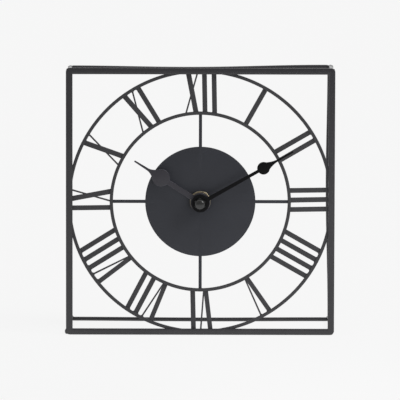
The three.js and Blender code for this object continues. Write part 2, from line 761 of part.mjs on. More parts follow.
// The back of the case: a tray with the open cell bay, the knob's hole, bosses and posts.
function caseBackHalf() {
  const rooted = cavityBack + CASE_WALL / 2;
  const pins = [
    at(thirdWheelSpot, pin(bossRadius, thirdBossFront, rooted)),
    at(rotorSpot, pin(bossRadius, rotorBossFront, rooted)),
    ...boardPosts().map((spot) => at(spot, pin(POST_RADIUS, boardBack, rooted))),
    ...statorPosts().map((spot) => at(spot, pin(POST_RADIUS, statorBack, rooted))),
  ];
  const bore = PIVOT_RADIUS + SLIDING_FIT;
  const bores = [
    at(minuteWheelSpot, pin(bore, cavityBack - 1, caseBack + 1)),
    at(thirdWheelSpot, pin(bore, thirdBossFront - 1, thirdBossFront + CASE_WALL + RUNNING_FIT)),
    at(rotorSpot, pin(bore, rotorBossFront - 1, rotorBossFront + CASE_WALL + RUNNING_FIT)),
  ];
  const room = solid(plate(caseOutline(CASE_WALL), cavityBack - 1, CASE_WALL + 2, 4));
  const bay = block(-bayHalf, bayFloor - 1, bayHalf, bayTop, cavityBack - 1, caseBack + 1);
  let body = caseTray(cavityBack, caseBack, caseSplit, cavityBack).add(bayWall(caseSplit, rooted));
  for (const piece of pins) body = body.add(solid(piece));
  for (const hole of bores) body = body.subtract(solid(hole));
  return surface(body.subtract(room.intersect(bay)));
}

// The plate between the motion work and the train, with a hole for each arbor.
function middlePlate() {
  const floor = RUNNING_FIT - BAY_BELOW_HUB;
  const shape = roundedRectangle(-roomHalf, floor, roomHalf, roomTop, CASE_CORNER - CASE_WALL);
  shape.holes.push(circle(0, 0, ARBOR_RADIUS + RUNNING_FIT));
  for (const spot of [minuteWheelSpot, thirdWheelSpot, rotorSpot]) {
    shape.holes.push(circle(spot.x, spot.y, PIVOT_RADIUS + SLIDING_FIT));
  }
  return plate(shape, middlePlateFront, MIDDLE_PLATE_SHEET, PIN_SIDES / 2);
}

// A piece turned about the depth axis, laid along X with its middle at a place.
function laidAlongX(geometry, x, depth, z) {
  return geometry.rotateZ(-Math.PI / 2).translate(x, depth, z);
}

// The wound bobbin: two flanges with the winding between them, and a bore for the core.
function coil() {
  const half = COIL_LENGTH / 2;
  const bore = Math.hypot(CORE_WIDTH, CORE_SHEET) / 2 + SLIDING_FIT;
  const profile = [
    [bore, half], [bore, -half], [COIL_FLANGE_RADIUS, -half], [COIL_FLANGE_RADIUS, COIL_FLANGE - half],
    [COIL_RADIUS, COIL_FLANGE - half], [COIL_RADIUS, half - COIL_FLANGE],
    [COIL_FLANGE_RADIUS, half - COIL_FLANGE], [COIL_FLANGE_RADIUS, half], [bore, half],
  ];
  return laidAlongX(turned(profile), coilCentre, coreFront + CORE_SHEET / 2, coilAxis);
}

// The flat core through the coil.
function coilCore() {
  const left = coilCentre - coreHalf;
  const right = coilCentre + coreHalf;
  const edge = CORE_WIDTH / 2;
  return plate(rectangle(left, coilAxis - edge, right, coilAxis + edge), coreFront, CORE_SHEET);
}

// The stator: a web round the rotor and two arms that lap behind the core's ends.
function stator() {
  const left = coilCentre - coreHalf;
  const right = coilCentre + coreHalf;
  const top = coilAxis + CORE_WIDTH / 2;
  const web = statorFloor + STATOR_WEB;
  const shape = polygon([
    [left, statorFloor], [right, statorFloor], [right, top], [right - STATOR_ARM, top],
    [right - STATOR_ARM, web], [left + STATOR_ARM, web], [left + STATOR_ARM, top], [left, top],
  ]);
  shape.holes.push(circle(rotorSpot.x, rotorSpot.y, ROTOR_RADIUS + RUNNING_FIT));
  return plate(shape, statorFront, STATOR_SHEET);
}

// The rotor: a round magnet on a thin arbor between the middle plate and its boss.
function rotor() {
  const body = join(
    pin(PIVOT_RADIUS, middlePlateFront, rotorBossFront + CASE_WALL),
    disc(ROTOR_RADIUS, rotorFront, rotorFront + ROTOR_HEIGHT),
  );
  return at(rotorSpot, surface(body));
}

// The circuit board on its posts.
function circuitBoard() {
  const shape = rectangle(boardLeft, roomTop - BOARD_HEIGHT, boardLeft + BOARD_WIDTH, roomTop);
  return plate(shape, coreFront, BOARD_SHEET);
}

// The quartz crystal's can, lying on the front of the board.
function quartzCrystal() {
  const x = boardLeft + BOARD_WIDTH / 2;
  const z = roomTop - BOARD_HEIGHT / 2;
  const half = CRYSTAL_LENGTH / 2;
  const can = turned([
    [0, -half], [CRYSTAL_RADIUS, -half], [CRYSTAL_RADIUS, half], [0, half],
  ], ROD_SIDES);
  return laidAlongX(can, x, coreFront - CRYSTAL_RADIUS - SLIDING_FIT, z);
}

// The round cell with its raised positive end.
function cell() {
  const half = CELL_LENGTH / 2;
  const shoulder = half - CELL_NIPPLE_LENGTH;
  const radius = CELL_DIAMETER / 2;
  const profile = [
    [0, -half], [radius, -half], [radius, shoulder], [CELL_NIPPLE_RADIUS, shoulder],
    [CELL_NIPPLE_RADIUS, half], [0, half],
  ];
  return laidAlongX(turned(profile, ROUND_SEGMENTS), 0, cellDepth, cellAxis);
}

// A bent contact leaf: seated on the bay's end wall, with its flat crest on the cell's end.
function contact(side) {
  const wall = bayHalf;
  const crest = CELL_LENGTH / 2;
  const foot = CONTACT_WIDTH / 2;
  const flat = CONTACT_FLAT / 2;
  const corners = [
    [wall, -foot], [crest, -flat], [crest, flat], [wall, foot], [wall, foot - 2 * CONTACT_SHEET],
    [crest + CONTACT_SHEET, flat - CONTACT_SHEET / 2],
    [crest + CONTACT_SHEET, CONTACT_SHEET / 2 - flat], [wall, 2 * CONTACT_SHEET - foot],
  ].map(([x, z]) => [side * x, cellAxis + z]);
  return plate(polygon(corners), cellDepth - CONTACT_WIDTH / 2, CONTACT_WIDTH);
}

// The whole clock, stood on its frame with its middle over the origin.
function buildClock() {
  const clock = new THREE.Group();
  clock.position.y = -(capFront + FRAME_DEPTH) / 2;
  const dial = new THREE.Group();
  dial.position.z = FRAME_SIZE / 2;
  clock.add(dial);
  const add = (group, name, geometry, finish) => {
    const mesh = new THREE.Mesh(geometry, new THREE.MeshStandardMaterial(FINISH[finish]));
    mesh.name = name;
    group.add(mesh);
  };

  add(dial, "front_frame", frontFrame(), "frame");
  add(clock, "rear_frame", rearFrame(), "frame");
  for (const [name, side, isTop] of [
    ["strut_top_left", -1, true],
    ["strut_top_right", 1, true],
    ["strut_bottom_left", -1, false],
    ["strut_bottom_right", 1, false],
  ]) {
    add(clock, name, cornerStrut(side, isTop), "frame");
  }

  const outerRing = ringShape(outerRingRadius, outerRingBore);
  const innerRing = ringShape(INNER_RING_RADIUS, innerRingBore);
  add(dial, "outer_ring", plate(outerRing, ringFront, RING_SHEET, RING_SEGMENTS), "dial");
  add(dial, "inner_ring", plate(innerRing, ringFront, RING_SHEET, RING_SEGMENTS), "dial");
  add(dial, "centre_disc", centreDisc(), "dial");
  NUMERALS.forEach((spec, index) => {
    add(dial, `numeral_${index + 1}`, numeral(spec, index + 1), "dial");
  });

  const bushingFit = BUSHING_RADIUS + SLIDING_FIT;
  const rubber = tube(RUBBER_WASHER_RADIUS, bushingFit, discBack, caseFront);
  const loose = bushingFit + WASHER_SLACK;
  const brass = tube(BRASS_WASHER_RADIUS, loose, washerFront, sheetFront, DISC_SEGMENTS);
  brass.translate(0, 0, -WASHER_SLACK);
  add(dial, "rubber_washer", rubber, "rubber");
  add(dial, "brass_washer", brass, "brass");
  add(dial, "hex_nut", hexNut(), "brass");
  add(dial, "movement_case_front", caseFrontHalf(), "casePlastic");
  add(dial, "movement_case_back", caseBackHalf(), "casePlastic");
  add(dial, "middle_plate", middlePlate(), "casePlastic");

  add(dial, "hour_hand", handGeometry(HOUR_HAND, hourHandFront, PIPE_RADIUS), "hourHand");
  add(dial, "minute_hand", handGeometry(MINUTE_HAND, minuteHandFront, ARBOR_RADIUS), "minuteHand");
  add(dial, "hand_cap", handCap(), "cap");
  add(dial, "hour_wheel", hourWheel(), "wheelPlastic");
  add(dial, "centre_arbor", centreArbor(), "steel");
  add(dial, "minute_wheel", minuteWheel(), "wheelPlastic");
  add(dial, "setting_knob", settingKnob(), "wheelPlastic");
  add(dial, "third_wheel", thirdWheel(), "wheelPlastic");

  add(dial, "coil", coil(), "copper");
  add(dial, "coil_core", coilCore(), "steel");
  add(dial, "stator", stator(), "steel");
  add(dial, "rotor", rotor(), "steel");
  add(dial, "circuit_board", circuitBoard(), "board");
  add(dial, "quartz_crystal", quartzCrystal(), "steel");
  add(dial, "cell", cell(), "cell");
  add(dial, "contact_positive", contact(1), "steel");
  add(dial, "contact_negative", contact(-1), "steel");
  return clock;
}

export default buildClock();
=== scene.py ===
"""A square metal mantel clock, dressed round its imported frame.

Everything is in metres, +Z up, and the dial faces -Y. Each class builds one sub-assembly: flat sheet
parts are outlines with rounded edges, round parts are rings of points joined one to the next, and each
finish is a small class that makes its own material.
"""

from __future__ import annotations

import logging
import math
from dataclasses import dataclass, field, replace
from enum import Enum

import bpy
import numpy as np
from mathutils import Matrix, Vector
from mathutils.geometry import delaunay_2d_cdt

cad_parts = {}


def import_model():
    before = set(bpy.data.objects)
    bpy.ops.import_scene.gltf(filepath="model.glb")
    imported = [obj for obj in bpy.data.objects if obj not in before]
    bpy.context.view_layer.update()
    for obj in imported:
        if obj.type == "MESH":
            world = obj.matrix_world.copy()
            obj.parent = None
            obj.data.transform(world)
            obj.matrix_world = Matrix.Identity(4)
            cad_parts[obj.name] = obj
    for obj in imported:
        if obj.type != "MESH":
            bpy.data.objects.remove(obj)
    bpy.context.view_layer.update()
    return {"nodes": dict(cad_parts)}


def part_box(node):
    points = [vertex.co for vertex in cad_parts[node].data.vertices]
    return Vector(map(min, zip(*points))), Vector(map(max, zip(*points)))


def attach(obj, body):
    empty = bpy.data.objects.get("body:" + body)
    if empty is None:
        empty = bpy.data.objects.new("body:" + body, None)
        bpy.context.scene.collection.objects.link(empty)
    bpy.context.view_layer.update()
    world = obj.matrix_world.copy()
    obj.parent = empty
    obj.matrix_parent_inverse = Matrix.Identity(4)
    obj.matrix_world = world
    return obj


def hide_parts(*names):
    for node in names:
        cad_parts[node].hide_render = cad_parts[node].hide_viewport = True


MM = 0.001
TAU = 2 * math.pi
QUARTER = math.pi / 2
HUB = np.array([0, 100 * MM])
COAT = 0.12 * MM
WEAR = "wear"
SHARP_ANGLE = math.radians(40)

Array = np.ndarray
Pair = tuple[float, float]
Triple = tuple[float, float, float]
Colour = Triple
Socket = bpy.types.NodeSocket
Material = bpy.types.Material
Thing = bpy.types.Object

log = logging.getLogger("mantel_clock")


class Body(Enum):
    """The bodies that pieces ride on."""

    CLOCK = "clock"
    MINUTE = "minute"
    HOUR = "hour"
    SETTING = "setting"


class Weave(Enum):
    """The way in which a metal's fine marks run."""

    TURNED = "turned"
    DRAWN = "drawn"


@dataclass
class Part:
    """One closed surface."""

    points: Array  # places of the vertices, one row each
    quads: Array  # four-sided faces as rows of indices, shaded smooth
    triangles: Array  # faces that close the ends, as rows of indices
    wear: Array  # how far each vertex lies on a worn edge, from 0 to 1
    smooth_ends: bool = False  # whether the triangles are shaded smooth as well

    def outward(self) -> Part:
        """The same surface with its faces pointing out.

        Six times the volume is the triple product of the corners, summed over the triangles. It is
        negative where the faces point in.

        Returns:
            The surface.
        """
        halves = [self.triangles, self.quads[:, [0, 1, 2]], self.quads[:, [0, 2, 3]]]
        corners = self.points[np.concatenate(halves)]
        if (np.cross(corners[:, 1], corners[:, 2]) * corners[:, 0]).sum() >= 0:
            return self
        return replace(self, quads=self.quads[:, ::-1], triangles=self.triangles[:, ::-1])

    def moved(self, matrix: Matrix) -> Part:
        """The same surface, turned and moved by a matrix."""
        points = self.points @ np.array(matrix.to_3x3()).T + np.array(matrix.translation)
        return replace(self, points=points)


def unit(rows: Array) -> Array:
    """Vectors in rows, each drawn out to a length of one."""
    return rows / np.linalg.norm(rows, axis=1, keepdims=True)


def crossed(first: Array, second: Array) -> Array:
    """The cross product of flat vectors, row by row."""
    return first[:, 0] * second[:, 1] - first[:, 1] * second[:, 0]


def full_turn(steps: int) -> Array:
    """Angles spread evenly over a full turn."""
    return np.linspace(0, TAU, steps, endpoint=False)


def strips(rows: int, sides: int, loop: bool) -> Array:
    """The four-sided faces of a grid of points, where each row closes on itself.

    Args:
        rows: How many rows there are.
        sides: How many points a row has.
        loop: Whether the last row joins the first.

    Returns:
        The faces as rows of indices.
    """
    i, j = np.meshgrid(np.arange(rows if loop else rows - 1), np.arange(sides), indexing="ij")
    after, beside = (i + 1) % rows, (j + 1) % sides
    corners = [i * sides + j, i * sides + beside, after * sides + beside, after * sides + j]
    return np.stack(corners, axis=-1).reshape(-1, 4)


def lofted(rings: Array, loop: bool, wear: Array | None = None, smooth_ends: bool = False) -> Part:
    """Rings of points joined one to the next: point (i, j) of the grid is point j of ring i.

    Args:
        rings: An array of rings, sides and coordinates, where each ring closes on itself.
        loop: Whether the last ring joins the first. Otherwise a fan about its mean closes each end.
        wear: The wear of each ring.
        smooth_ends: Whether the fans are shaded smooth, as on a dome.

    Returns:
        The closed surface.
    """
    count, sides = rings.shape[:2]
    points = rings.reshape(-1, 3)
    wear_and_sheen = np.repeat(np.zeros(count) if wear is None else wear, sides)
    triangles = np.empty((0, 3), int)
    if not loop:
        rim = np.arange(sides)
        following, last = (rim + 1) % sides, (count - 1) * sides
        start = np.stack([following, rim, np.full(sides, len(points))], axis=-1)
        end = np.stack([last + rim, last + following, np.full(sides, len(points) + 1)], axis=-1)
        triangles = np.concatenate([start, end])
        points = np.vstack([points, rings[0].mean(axis=0), rings[-1].mean(axis=0)])
        wear_and_sheen = np.append(wear_and_sheen, [0, 0])
    return Part(points, strips(count, sides, loop), triangles, wear_and_sheen, smooth_ends).outward()


def spun(radius: Array, depth: Array, angles: Array, centre: Array) -> Array:
    """Rings round the depth axis: at the angle a, radius r and depth y become (r cos a, y, r sin a).

    Args:
        radius: The radius of each ring, or of each point of it.
        depth: The depth of each ring.
        angles: The angle of each point of a ring.
        centre: The axis in the dial plane, as x and z.

    Returns:
        The rings as an array of rings, sides and coordinates.
    """
    x = centre[0] + radius * np.cos(angles)
    z = centre[1] + radius * np.sin(angles)
    return np.stack([x, np.broadcast_to(depth, x.shape), z], axis=-1)


def turned(profile: Array | list[Pair], centre: Array, segments: int = 96, loop: bool = False,
           wear: Array | None = None, smooth_ends: bool = False) -> Part:
    """A profile carried round the depth axis.

    Args:
        profile: Rows of radius and depth.
        centre: The axis in the dial plane, as x and z.
        segments: How many steps go round.
        loop: Whether the profile closes on itself, as on a washer.
        wear: The wear of each profile point.
        smooth_ends: Whether the end fans are shaded smooth.

    Returns:
        The closed surface.
    """
    radius, depth = np.array(profile).T[..., None]
    return lofted(spun(radius, depth, full_turn(segments), centre), loop, wear, smooth_ends)


def rod(path: Array, radii: Array, level: Vector, loop: bool, sides: int = 24) -> Part:
    """A round rod: at each point of a path, a circle across the path's direction.

    Args:
        path: The centre line.
        radii: The radius at each point, or at each point and side.
        level: A direction across the path everywhere, from which the sides are counted.
        loop: Whether the path closes on itself.
        sides: How many sides the circle has.

    Returns:
        The closed surface.
    """
    steps = np.roll(path, -1, axis=0) - np.roll(path, 1, axis=0) if loop else np.gradient(path, axis=0)
    along = unit(steps)
    over = unit(np.cross(along, np.array(level)))
    across = np.cross(over, along)
    angles = full_turn(sides)[None, :, None]
    spread = np.cos(angles) * across[:, None] + np.sin(angles) * over[:, None]
    reach = radii[..., None] if radii.ndim == 2 else radii[:, None, None]
    return lofted(path[:, None] + reach * spread, loop)


def inward(loop: Array) -> Array:
    """For each corner of a loop, the step towards its material that moves both its edges in by one.

    The material is on the left. The step is the sum of the two edges' left normals over one plus their
    product, and it is held to a length of two at sharp corners.

    Args:
        loop: The loop, as rows of x and z.

    Returns:
        The steps, one row for each corner.
    """
    edges = unit(np.roll(loop, -1, axis=0) - loop)
    after = np.stack([-edges[:, 1], edges[:, 0]], axis=-1)
    before = np.roll(after, 1, axis=0)
    product = (before * after).sum(axis=1, keepdims=True)
    least, longest = 0.1, 2
    step = (before + after) / np.maximum(1 + product, least)
    return step / np.maximum(np.linalg.norm(step, axis=1, keepdims=True) / longest, 1)


def bends(loop: Array) -> Array:
    """The sine of the turn at each corner of a loop, without its sign."""
    before = unit(loop - np.roll(loop, 1, axis=0))
    return np.abs(crossed(before, np.roll(before, -1, axis=0)))


def within(points: Array, starts: Array, ends: Array) -> Array:
    """Whether each point lies inside closed loops: a ray to its right crosses an odd number of edges.

    Args:
        points: The points to test.
        starts: The start of each edge of the loops.
        ends: The end of each edge.

    Returns:
        True or False for each point.
    """
    x, z = points[:, 0, None], points[:, 1, None]
    spans = (starts[:, 1] > z) != (ends[:, 1] > z)
    rise = np.where(ends[:, 1] == starts[:, 1], 1, ends[:, 1] - starts[:, 1])
    crossing = starts[:, 0] + (z - starts[:, 1]) * (ends[:, 0] - starts[:, 0]) / rise
    return (spans & (crossing > x)).sum(axis=1) % 2 == 1


def filled(loops: list[Array]) -> Array:
    """Triangles that fill the area between loops, as indices into the loops laid end to end.

    Args:
        loops: An outline and its holes, as rows of x and z.

    Returns:
        The triangles.
    """
    flat = np.concatenate(loops)
    starts = np.cumsum([0] + [len(loop) for loop in loops])
    runs = [start + np.arange(len(loop)) for start, loop in zip(starts, loops)]
    borders = np.concatenate([np.stack([run, np.roll(run, -1)], axis=-1) for run in runs])
    corners = [Vector(point) for point in (flat / MM).tolist()]
    inside_only, nearness = 1, 1e-6
    _, _, faces, origins, _, _ = delaunay_2d_cdt(corners, borders.tolist(), [], inside_only, nearness)
    triangles = np.array([origin[0] for origin in origins])[np.array(faces)]
    middles = flat[triangles].mean(axis=1)
    triangles = triangles[within(middles, flat[borders[:, 0]], flat[borders[:, 1]])]
    a, b, c = flat[triangles].transpose(1, 0, 2)
    clockwise = crossed(b - a, c - a) < 0
    triangles[clockwise] = triangles[clockwise][:, ::-1]
    return triangles


def plate(loops: list[Array], front: float, back: float, edge: float, steps: int = 3,
          coat: float = 0) -> Part:
    """A flat piece in the dial plane whose edges are rounded all round.

    At an angle t of a quarter turn, each loop stands edge * (1 - sin t) inside its outline and
    edge * (1 - cos t) behind the front face, and in mirror image at the back.

    Args:
        loops: The outline and its holes as rows of x and z, with the material on the left.
        front: The depth of the front face.
        back: The depth of the back face.
        edge: The radius of the rounded edges.
        steps: How many steps the quarter turn has.
        coat: How far paint carries the outline out.

    Returns:
        The closed surface.
    """
    turn = np.linspace(0, QUARTER, steps + 1)
    inset = edge * (1 - np.sin(turn)) - coat
    sink = edge * (1 - np.cos(turn))
    insets = np.append(inset, inset[::-1])
    depths = np.append(front + sink, back - sink[::-1])
    wear_and_sheen = np.sin(2 * np.append(turn, turn[::-1])).clip(0, 1)
    levels, sides = len(insets), [len(loop) for loop in loops]
    starts = levels * np.cumsum([0] + sides)
    points, quads = [], []
    for start, loop in zip(starts, loops):
        outline = loop + insets[:, None, None] * inward(loop)
        depth = np.broadcast_to(depths[:, None], outline.shape[:2])
        points.append(np.stack([outline[..., 0], depth, outline[..., 1]], axis=-1).reshape(-1, 3))
        quads.append(start + strips(levels, len(loop), loop=False)[:, ::-1])
    fill = filled([loop + inset[0] * inward(loop) for loop in loops])
    ahead = np.concatenate([start + np.arange(side) for start, side in zip(starts, sides)])
    behind = ahead + (levels - 1) * np.repeat(sides, sides)
    triangles = np.concatenate([ahead[fill], behind[fill[:, ::-1]]])
    wear = np.concatenate([np.repeat(wear_and_sheen, side) for side in sides])
    return Part(np.concatenate(points), np.concatenate(quads), triangles, wear).outward()


def arc(centre: Array | Pair, radius: float, start: float, end: float, steps: int) -> Array:
    """Points along an arc, both ends included: the centre plus the radius times (cos, sin) of the angle."""
    angles = np.linspace(start, end, steps + 1)
    return centre + radius * np.stack([np.cos(angles), np.sin(angles)], axis=-1)


def ring_loop(radius: float, segments: int, centre: Array, hole: bool = False) -> Array:
    """A circle as a loop, clockwise for a hole so that the material is on its left."""
    loop = arc((0, 0), radius, 0, TAU, segments)[:-1] + centre
    return loop[::-1] if hole else loop


def rectangle_loop(low: Array, high: Array, radius: float, hole: bool = False, steps: int = 10) -> Array:
    """A rectangle between two corners as a loop, with all its corners rounded to one radius.

    Args:
        low: Its lowest corner.
        high: Its highest corner.
        radius: The radius of its corners.
        hole: Whether it is a hole, and runs clockwise.
        steps: How many steps a corner has.

    Returns:
        The loop, as rows of x and z.
    """
    (left, bottom), (right, top) = np.add(low, radius), np.subtract(high, radius)
    hearts = [(right, top), (left, top), (left, bottom), (right, bottom)]
    loop = np.concatenate([arc(heart, radius, turn * QUARTER, (turn + 1) * QUARTER, steps)
                           for turn, heart in enumerate(hearts)])
    return loop[::-1] if hole else loop


def threes(rows: bpy.types.bpy_prop_collection, name: str, kind: type) -> Array:
    """What a mesh's rows hold under a name, three numbers each.

    Args:
        rows: The mesh's vertices or triangles.
        name: What is asked for.
        kind: The numbers' type.

    Returns:
        The numbers, one row for each.
    """
    values = np.zeros(len(rows) * 3, kind)
    rows.foreach_get(name, values)
    return values.reshape(-1, 3)


def front_loops(node: Thing) -> list[Array]:
    """The loops round a flat node's front face, with the material on the left.

    An edge of one triangle only lies on the border. Such edges are joined end to start, and points on
    a straight run or next to another one are left out.

    Args:
        node: A CAD node that is a sheet in the dial plane.

    Returns:
        The loops, as rows of x and z.
    """
    grid, level, nearest, straight = 0.001 * MM, 0.01 * MM, 0.15 * MM, 0.01
    node.data.calc_loop_triangles()
    places = threes(node.data.vertices, "co", float)
    triangles = threes(node.data.loop_triangles, "vertices", int)
    cells = np.round(places[:, [0, 2]] / grid).astype(int)
    unique, index = np.unique(cells, axis=0, return_inverse=True)
    flat = np.abs(places[triangles, 1] - places[:, 1].min()).max(axis=1) < level
    faces = index.reshape(-1)[triangles[flat]]
    edges = np.concatenate([faces[:, [0, 1]], faces[:, [1, 2]], faces[:, [2, 0]]])
    known = set(map(tuple, edges.tolist()))
    following = {a: b for a, b in known if (b, a) not in known}
    loops = []
    while following:
        start, here = following.popitem()
        chain = [start]
        while here != start:
            chain.append(here)
            here = following.pop(here)
        corners = unique[chain] * grid
        corners = corners[np.linalg.norm(corners - np.roll(corners, 1, axis=0), axis=1) > nearest]
        loops.append(corners[bends(corners) > straight])
    return loops


class Tree:
    """A node tree, with short ways to add and join nodes."""

    def __init__(self, tree: bpy.types.NodeTree) -> None:
        """Takes the tree that the nodes go into."""
        self.tree = tree

    def node(self, kind: str, inputs: dict[str | int, object] | None = None,
             **settings: object) -> bpy.types.Node:
        """Adds a node.

        Args:
            kind: The node's type.
            inputs: What its inputs get, by name or number: an output to join, or a value.
            settings: Its own settings.

        Returns:
            The node.
        """
        made = self.tree.nodes.new(kind)
        for name, value in settings.items():
            setattr(made, name, value)
        for key, value in (inputs or {}).items():
            if isinstance(value, Socket):
                self.join(value, made.inputs[key])
            else:
                made.inputs[key].default_value = value
        return made

    def join(self, source: Socket, target: Socket) -> None:
        """Joins an output to an input."""
        self.tree.links.new(source, target)

    def math(self, operation: str, *inputs: Socket | float) -> Socket:
        """What an operation of the Math node makes of outputs and numbers."""
        return self.node("ShaderNodeMath", dict(enumerate(inputs)), operation=operation).outputs[0]

    def axis(self, place: Socket, name: str) -> Socket:
        """One coordinate of a place."""
        return self.node("ShaderNodeSeparateXYZ", {0: place}).outputs[name]

    def spread(self, value: Socket, low: Socket | float, high: Socket | float, start: float = 0.3,
               end: float = 0.7) -> Socket:
        """A value's range from start to end, stretched to low to high and held there."""
        inputs = {"Value": value, "From Min": start, "From Max": end, "To Min": low, "To Max": high}
        return self.node("ShaderNodeMapRange", inputs).outputs[0]


def scaled(colour: Colour, factor: float) -> Colour:
    """A colour times a number."""
    red, green, blue = (channel * factor for channel in colour)
    return red, green, blue


class Shader(Tree):
    """A material's node tree round its principled shader."""

    def __init__(self, name: str, **constants: float) -> None:
        """Starts a material.

        Args:
            name: The material's name.
            constants: What the shader's own sockets hold, with _ for each space in a socket's name.
        """
        self.material = bpy.data.materials.new(name)
        self.material.use_nodes = True
        super().__init__(self.material.node_tree)
        self.surface = self.tree.nodes["Principled BSDF"]
        self.place = self.node("ShaderNodeTexCoord").outputs["Object"]
        for socket, value in constants.items():
            self.surface.inputs[socket.replace("_", " ")].default_value = value

    def stretched(self, scale: Triple, shift: Triple = (0, 0, 0)) -> Socket:
        """Object coordinates, moved by a shift and then scaled along each axis."""
        moved = self.node("ShaderNodeVectorMath", {0: self.place, 1: shift}, operation="ADD").outputs[0]
        return self.node("ShaderNodeVectorMath", {0: moved, 1: scale}, operation="MULTIPLY").outputs[0]

    def noise(self, size: float, detail: float = 2, place: Socket | None = None) -> Socket:
        """Soft noise whose features measure about one size."""
        inputs = {"Vector": place or self.place, "Scale": 1 / size, "Detail": detail}
        return self.node("ShaderNodeTexNoise", inputs).outputs["Fac"]

    def soft(self, size: float, detail: float, low: float = 0, high: float = 1, start: float = 0.3,
             end: float = 0.7) -> Socket:
        """Soft noise whose range from start to end is stretched to low to high."""
        return self.spread(self.noise(size, detail), low, high, start, end)

    def blend(self, amount: Socket, first: Socket | Colour, second: Socket | Colour) -> Socket:
        """A colour from the first to the second as the amount goes from 0 to 1.

        Args:
            amount: How much of the second there is.
            first: An output or a colour.
            second: Another.

        Returns:
            The colour.
        """
        first, second = ((*side, 1) if isinstance(side, tuple) else side for side in (first, second))
        inputs = {"Factor": amount, 6: first, 7: second}
        return self.node("ShaderNodeMix", inputs, data_type="RGBA").outputs[2]

    def shades(self, amount: Socket, colour: Colour, low: float, high: float) -> Socket:
        """A colour's own shades, from low times to high times as bright."""
        return self.blend(amount, scaled(colour, low), scaled(colour, high))

    def bump(self, height: Socket, distance: float, base: Socket | None = None) -> Socket:
        """A bumped normal, on top of another one if that is given."""
        under = {} if base is None else {"Normal": base}
        return self.node("ShaderNodeBump", {"Height": height, "Distance": distance, **under}).outputs[0]

    def wear_and_sheen(self, paint: Socket, colour: Colour, gain: float) -> Socket:
        """A paint that turns paler on the rounded edges that its mesh marks, broken up by noise: wear, and
        with a high gain a painted highlight along those edges.

        Args:
            paint: The paint.
            colour: Its main colour.
            gain: How many times as bright as that an edge is; a high gain paints a highlight there.

        Returns:
            The colour.
        """
        edge = self.node("ShaderNodeAttribute", attribute_name=WEAR).outputs["Fac"]
        patches = self.soft(3 * MM, 3, start=0.42, end=0.6)
        return self.blend(self.math("MULTIPLY", edge, patches), paint, scaled(colour, gain))

    def done(self, colour: Socket, rough: Socket, normal: Socket) -> Material:
        """Joins the three channels to the shader and gives the material.

        Args:
            colour: The base colour.
            rough: The roughness.
            normal: The bumped normal.

        Returns:
            The material.
        """
        for name, source in (("Base Color", colour), ("Roughness", rough), ("Normal", normal)):
            self.join(source, self.surface.inputs[name])
        return self.material


@dataclass(frozen=True)
class Finish:
    """What covers a piece."""

    slot: str  # the record's slot, which names the material too
    colour: Colour  # its main colour

    def material(self) -> Material:
        """Makes the material."""
        raise NotImplementedError


@dataclass(frozen=True)
class PowderCoat(Finish):
    """Baked powder paint: a fine orange peel, a faint change of tone, and paler, smoother edges."""

    rough: float = 0.5  # its mean roughness
    specular: float = 0.35  # its specular level
    peel: float = 0.012 * MM  # the height of the orange peel
    # a high edge_gain also paints a highlight along the edges, as on the hour hand
    edge_gain: float = 1.7  # how much paler a worn edge is
    tone: str = ""  # what is added to the name of a second material in one slot

    def material(self) -> Material:
        """Makes the paint.

        Returns:
            The paint.
        """
        grain = 0.12 * MM
        shader = Shader(self.slot + self.tone, Specular_IOR_Level=self.specular)
        paint = shader.shades(shader.soft(28 * MM, 3), self.colour, 0.92, 1.08)
        paint = shader.blend(shader.soft(grain, 2, high=0.16), paint, scaled(self.colour, 1.5))
        paint = shader.wear_and_sheen(paint, self.colour, self.edge_gain)
        rough = shader.soft(0.5 * MM, 3, self.rough - 0.05, self.rough + 0.05)
        peel = shader.bump(shader.noise(0.55 * MM), self.peel)
        return shader.done(paint, rough, shader.bump(shader.noise(grain, 1), 0.003 * MM, peel))


@dataclass(frozen=True)
class Moulding(Finish):
    """Moulded plastic with the fine sparked texture of its tool."""

    rough: float = 0.5  # its mean roughness
    spark: float = 0.01 * MM  # the height of the texture
    specular: float = 0.4  # its specular level

    def material(self) -> Material:
        """Makes the plastic.

        Returns:
            The plastic.
        """
        shader = Shader(self.slot, Specular_IOR_Level=self.specular)
        flow = shader.noise(1, 3, shader.stretched((1 / (30 * MM), 1 / (30 * MM), 1 / (9 * MM))))
        tint = shader.shades(shader.spread(flow, 0, 1), self.colour, 0.94, 1.06)
        tint = shader.wear_and_sheen(tint, self.colour, 1.25)
        rough = shader.soft(0.4 * MM, 2, self.rough - 0.06, self.rough + 0.06)
        return shader.done(tint, rough, shader.bump(shader.noise(0.09 * MM), self.spark))


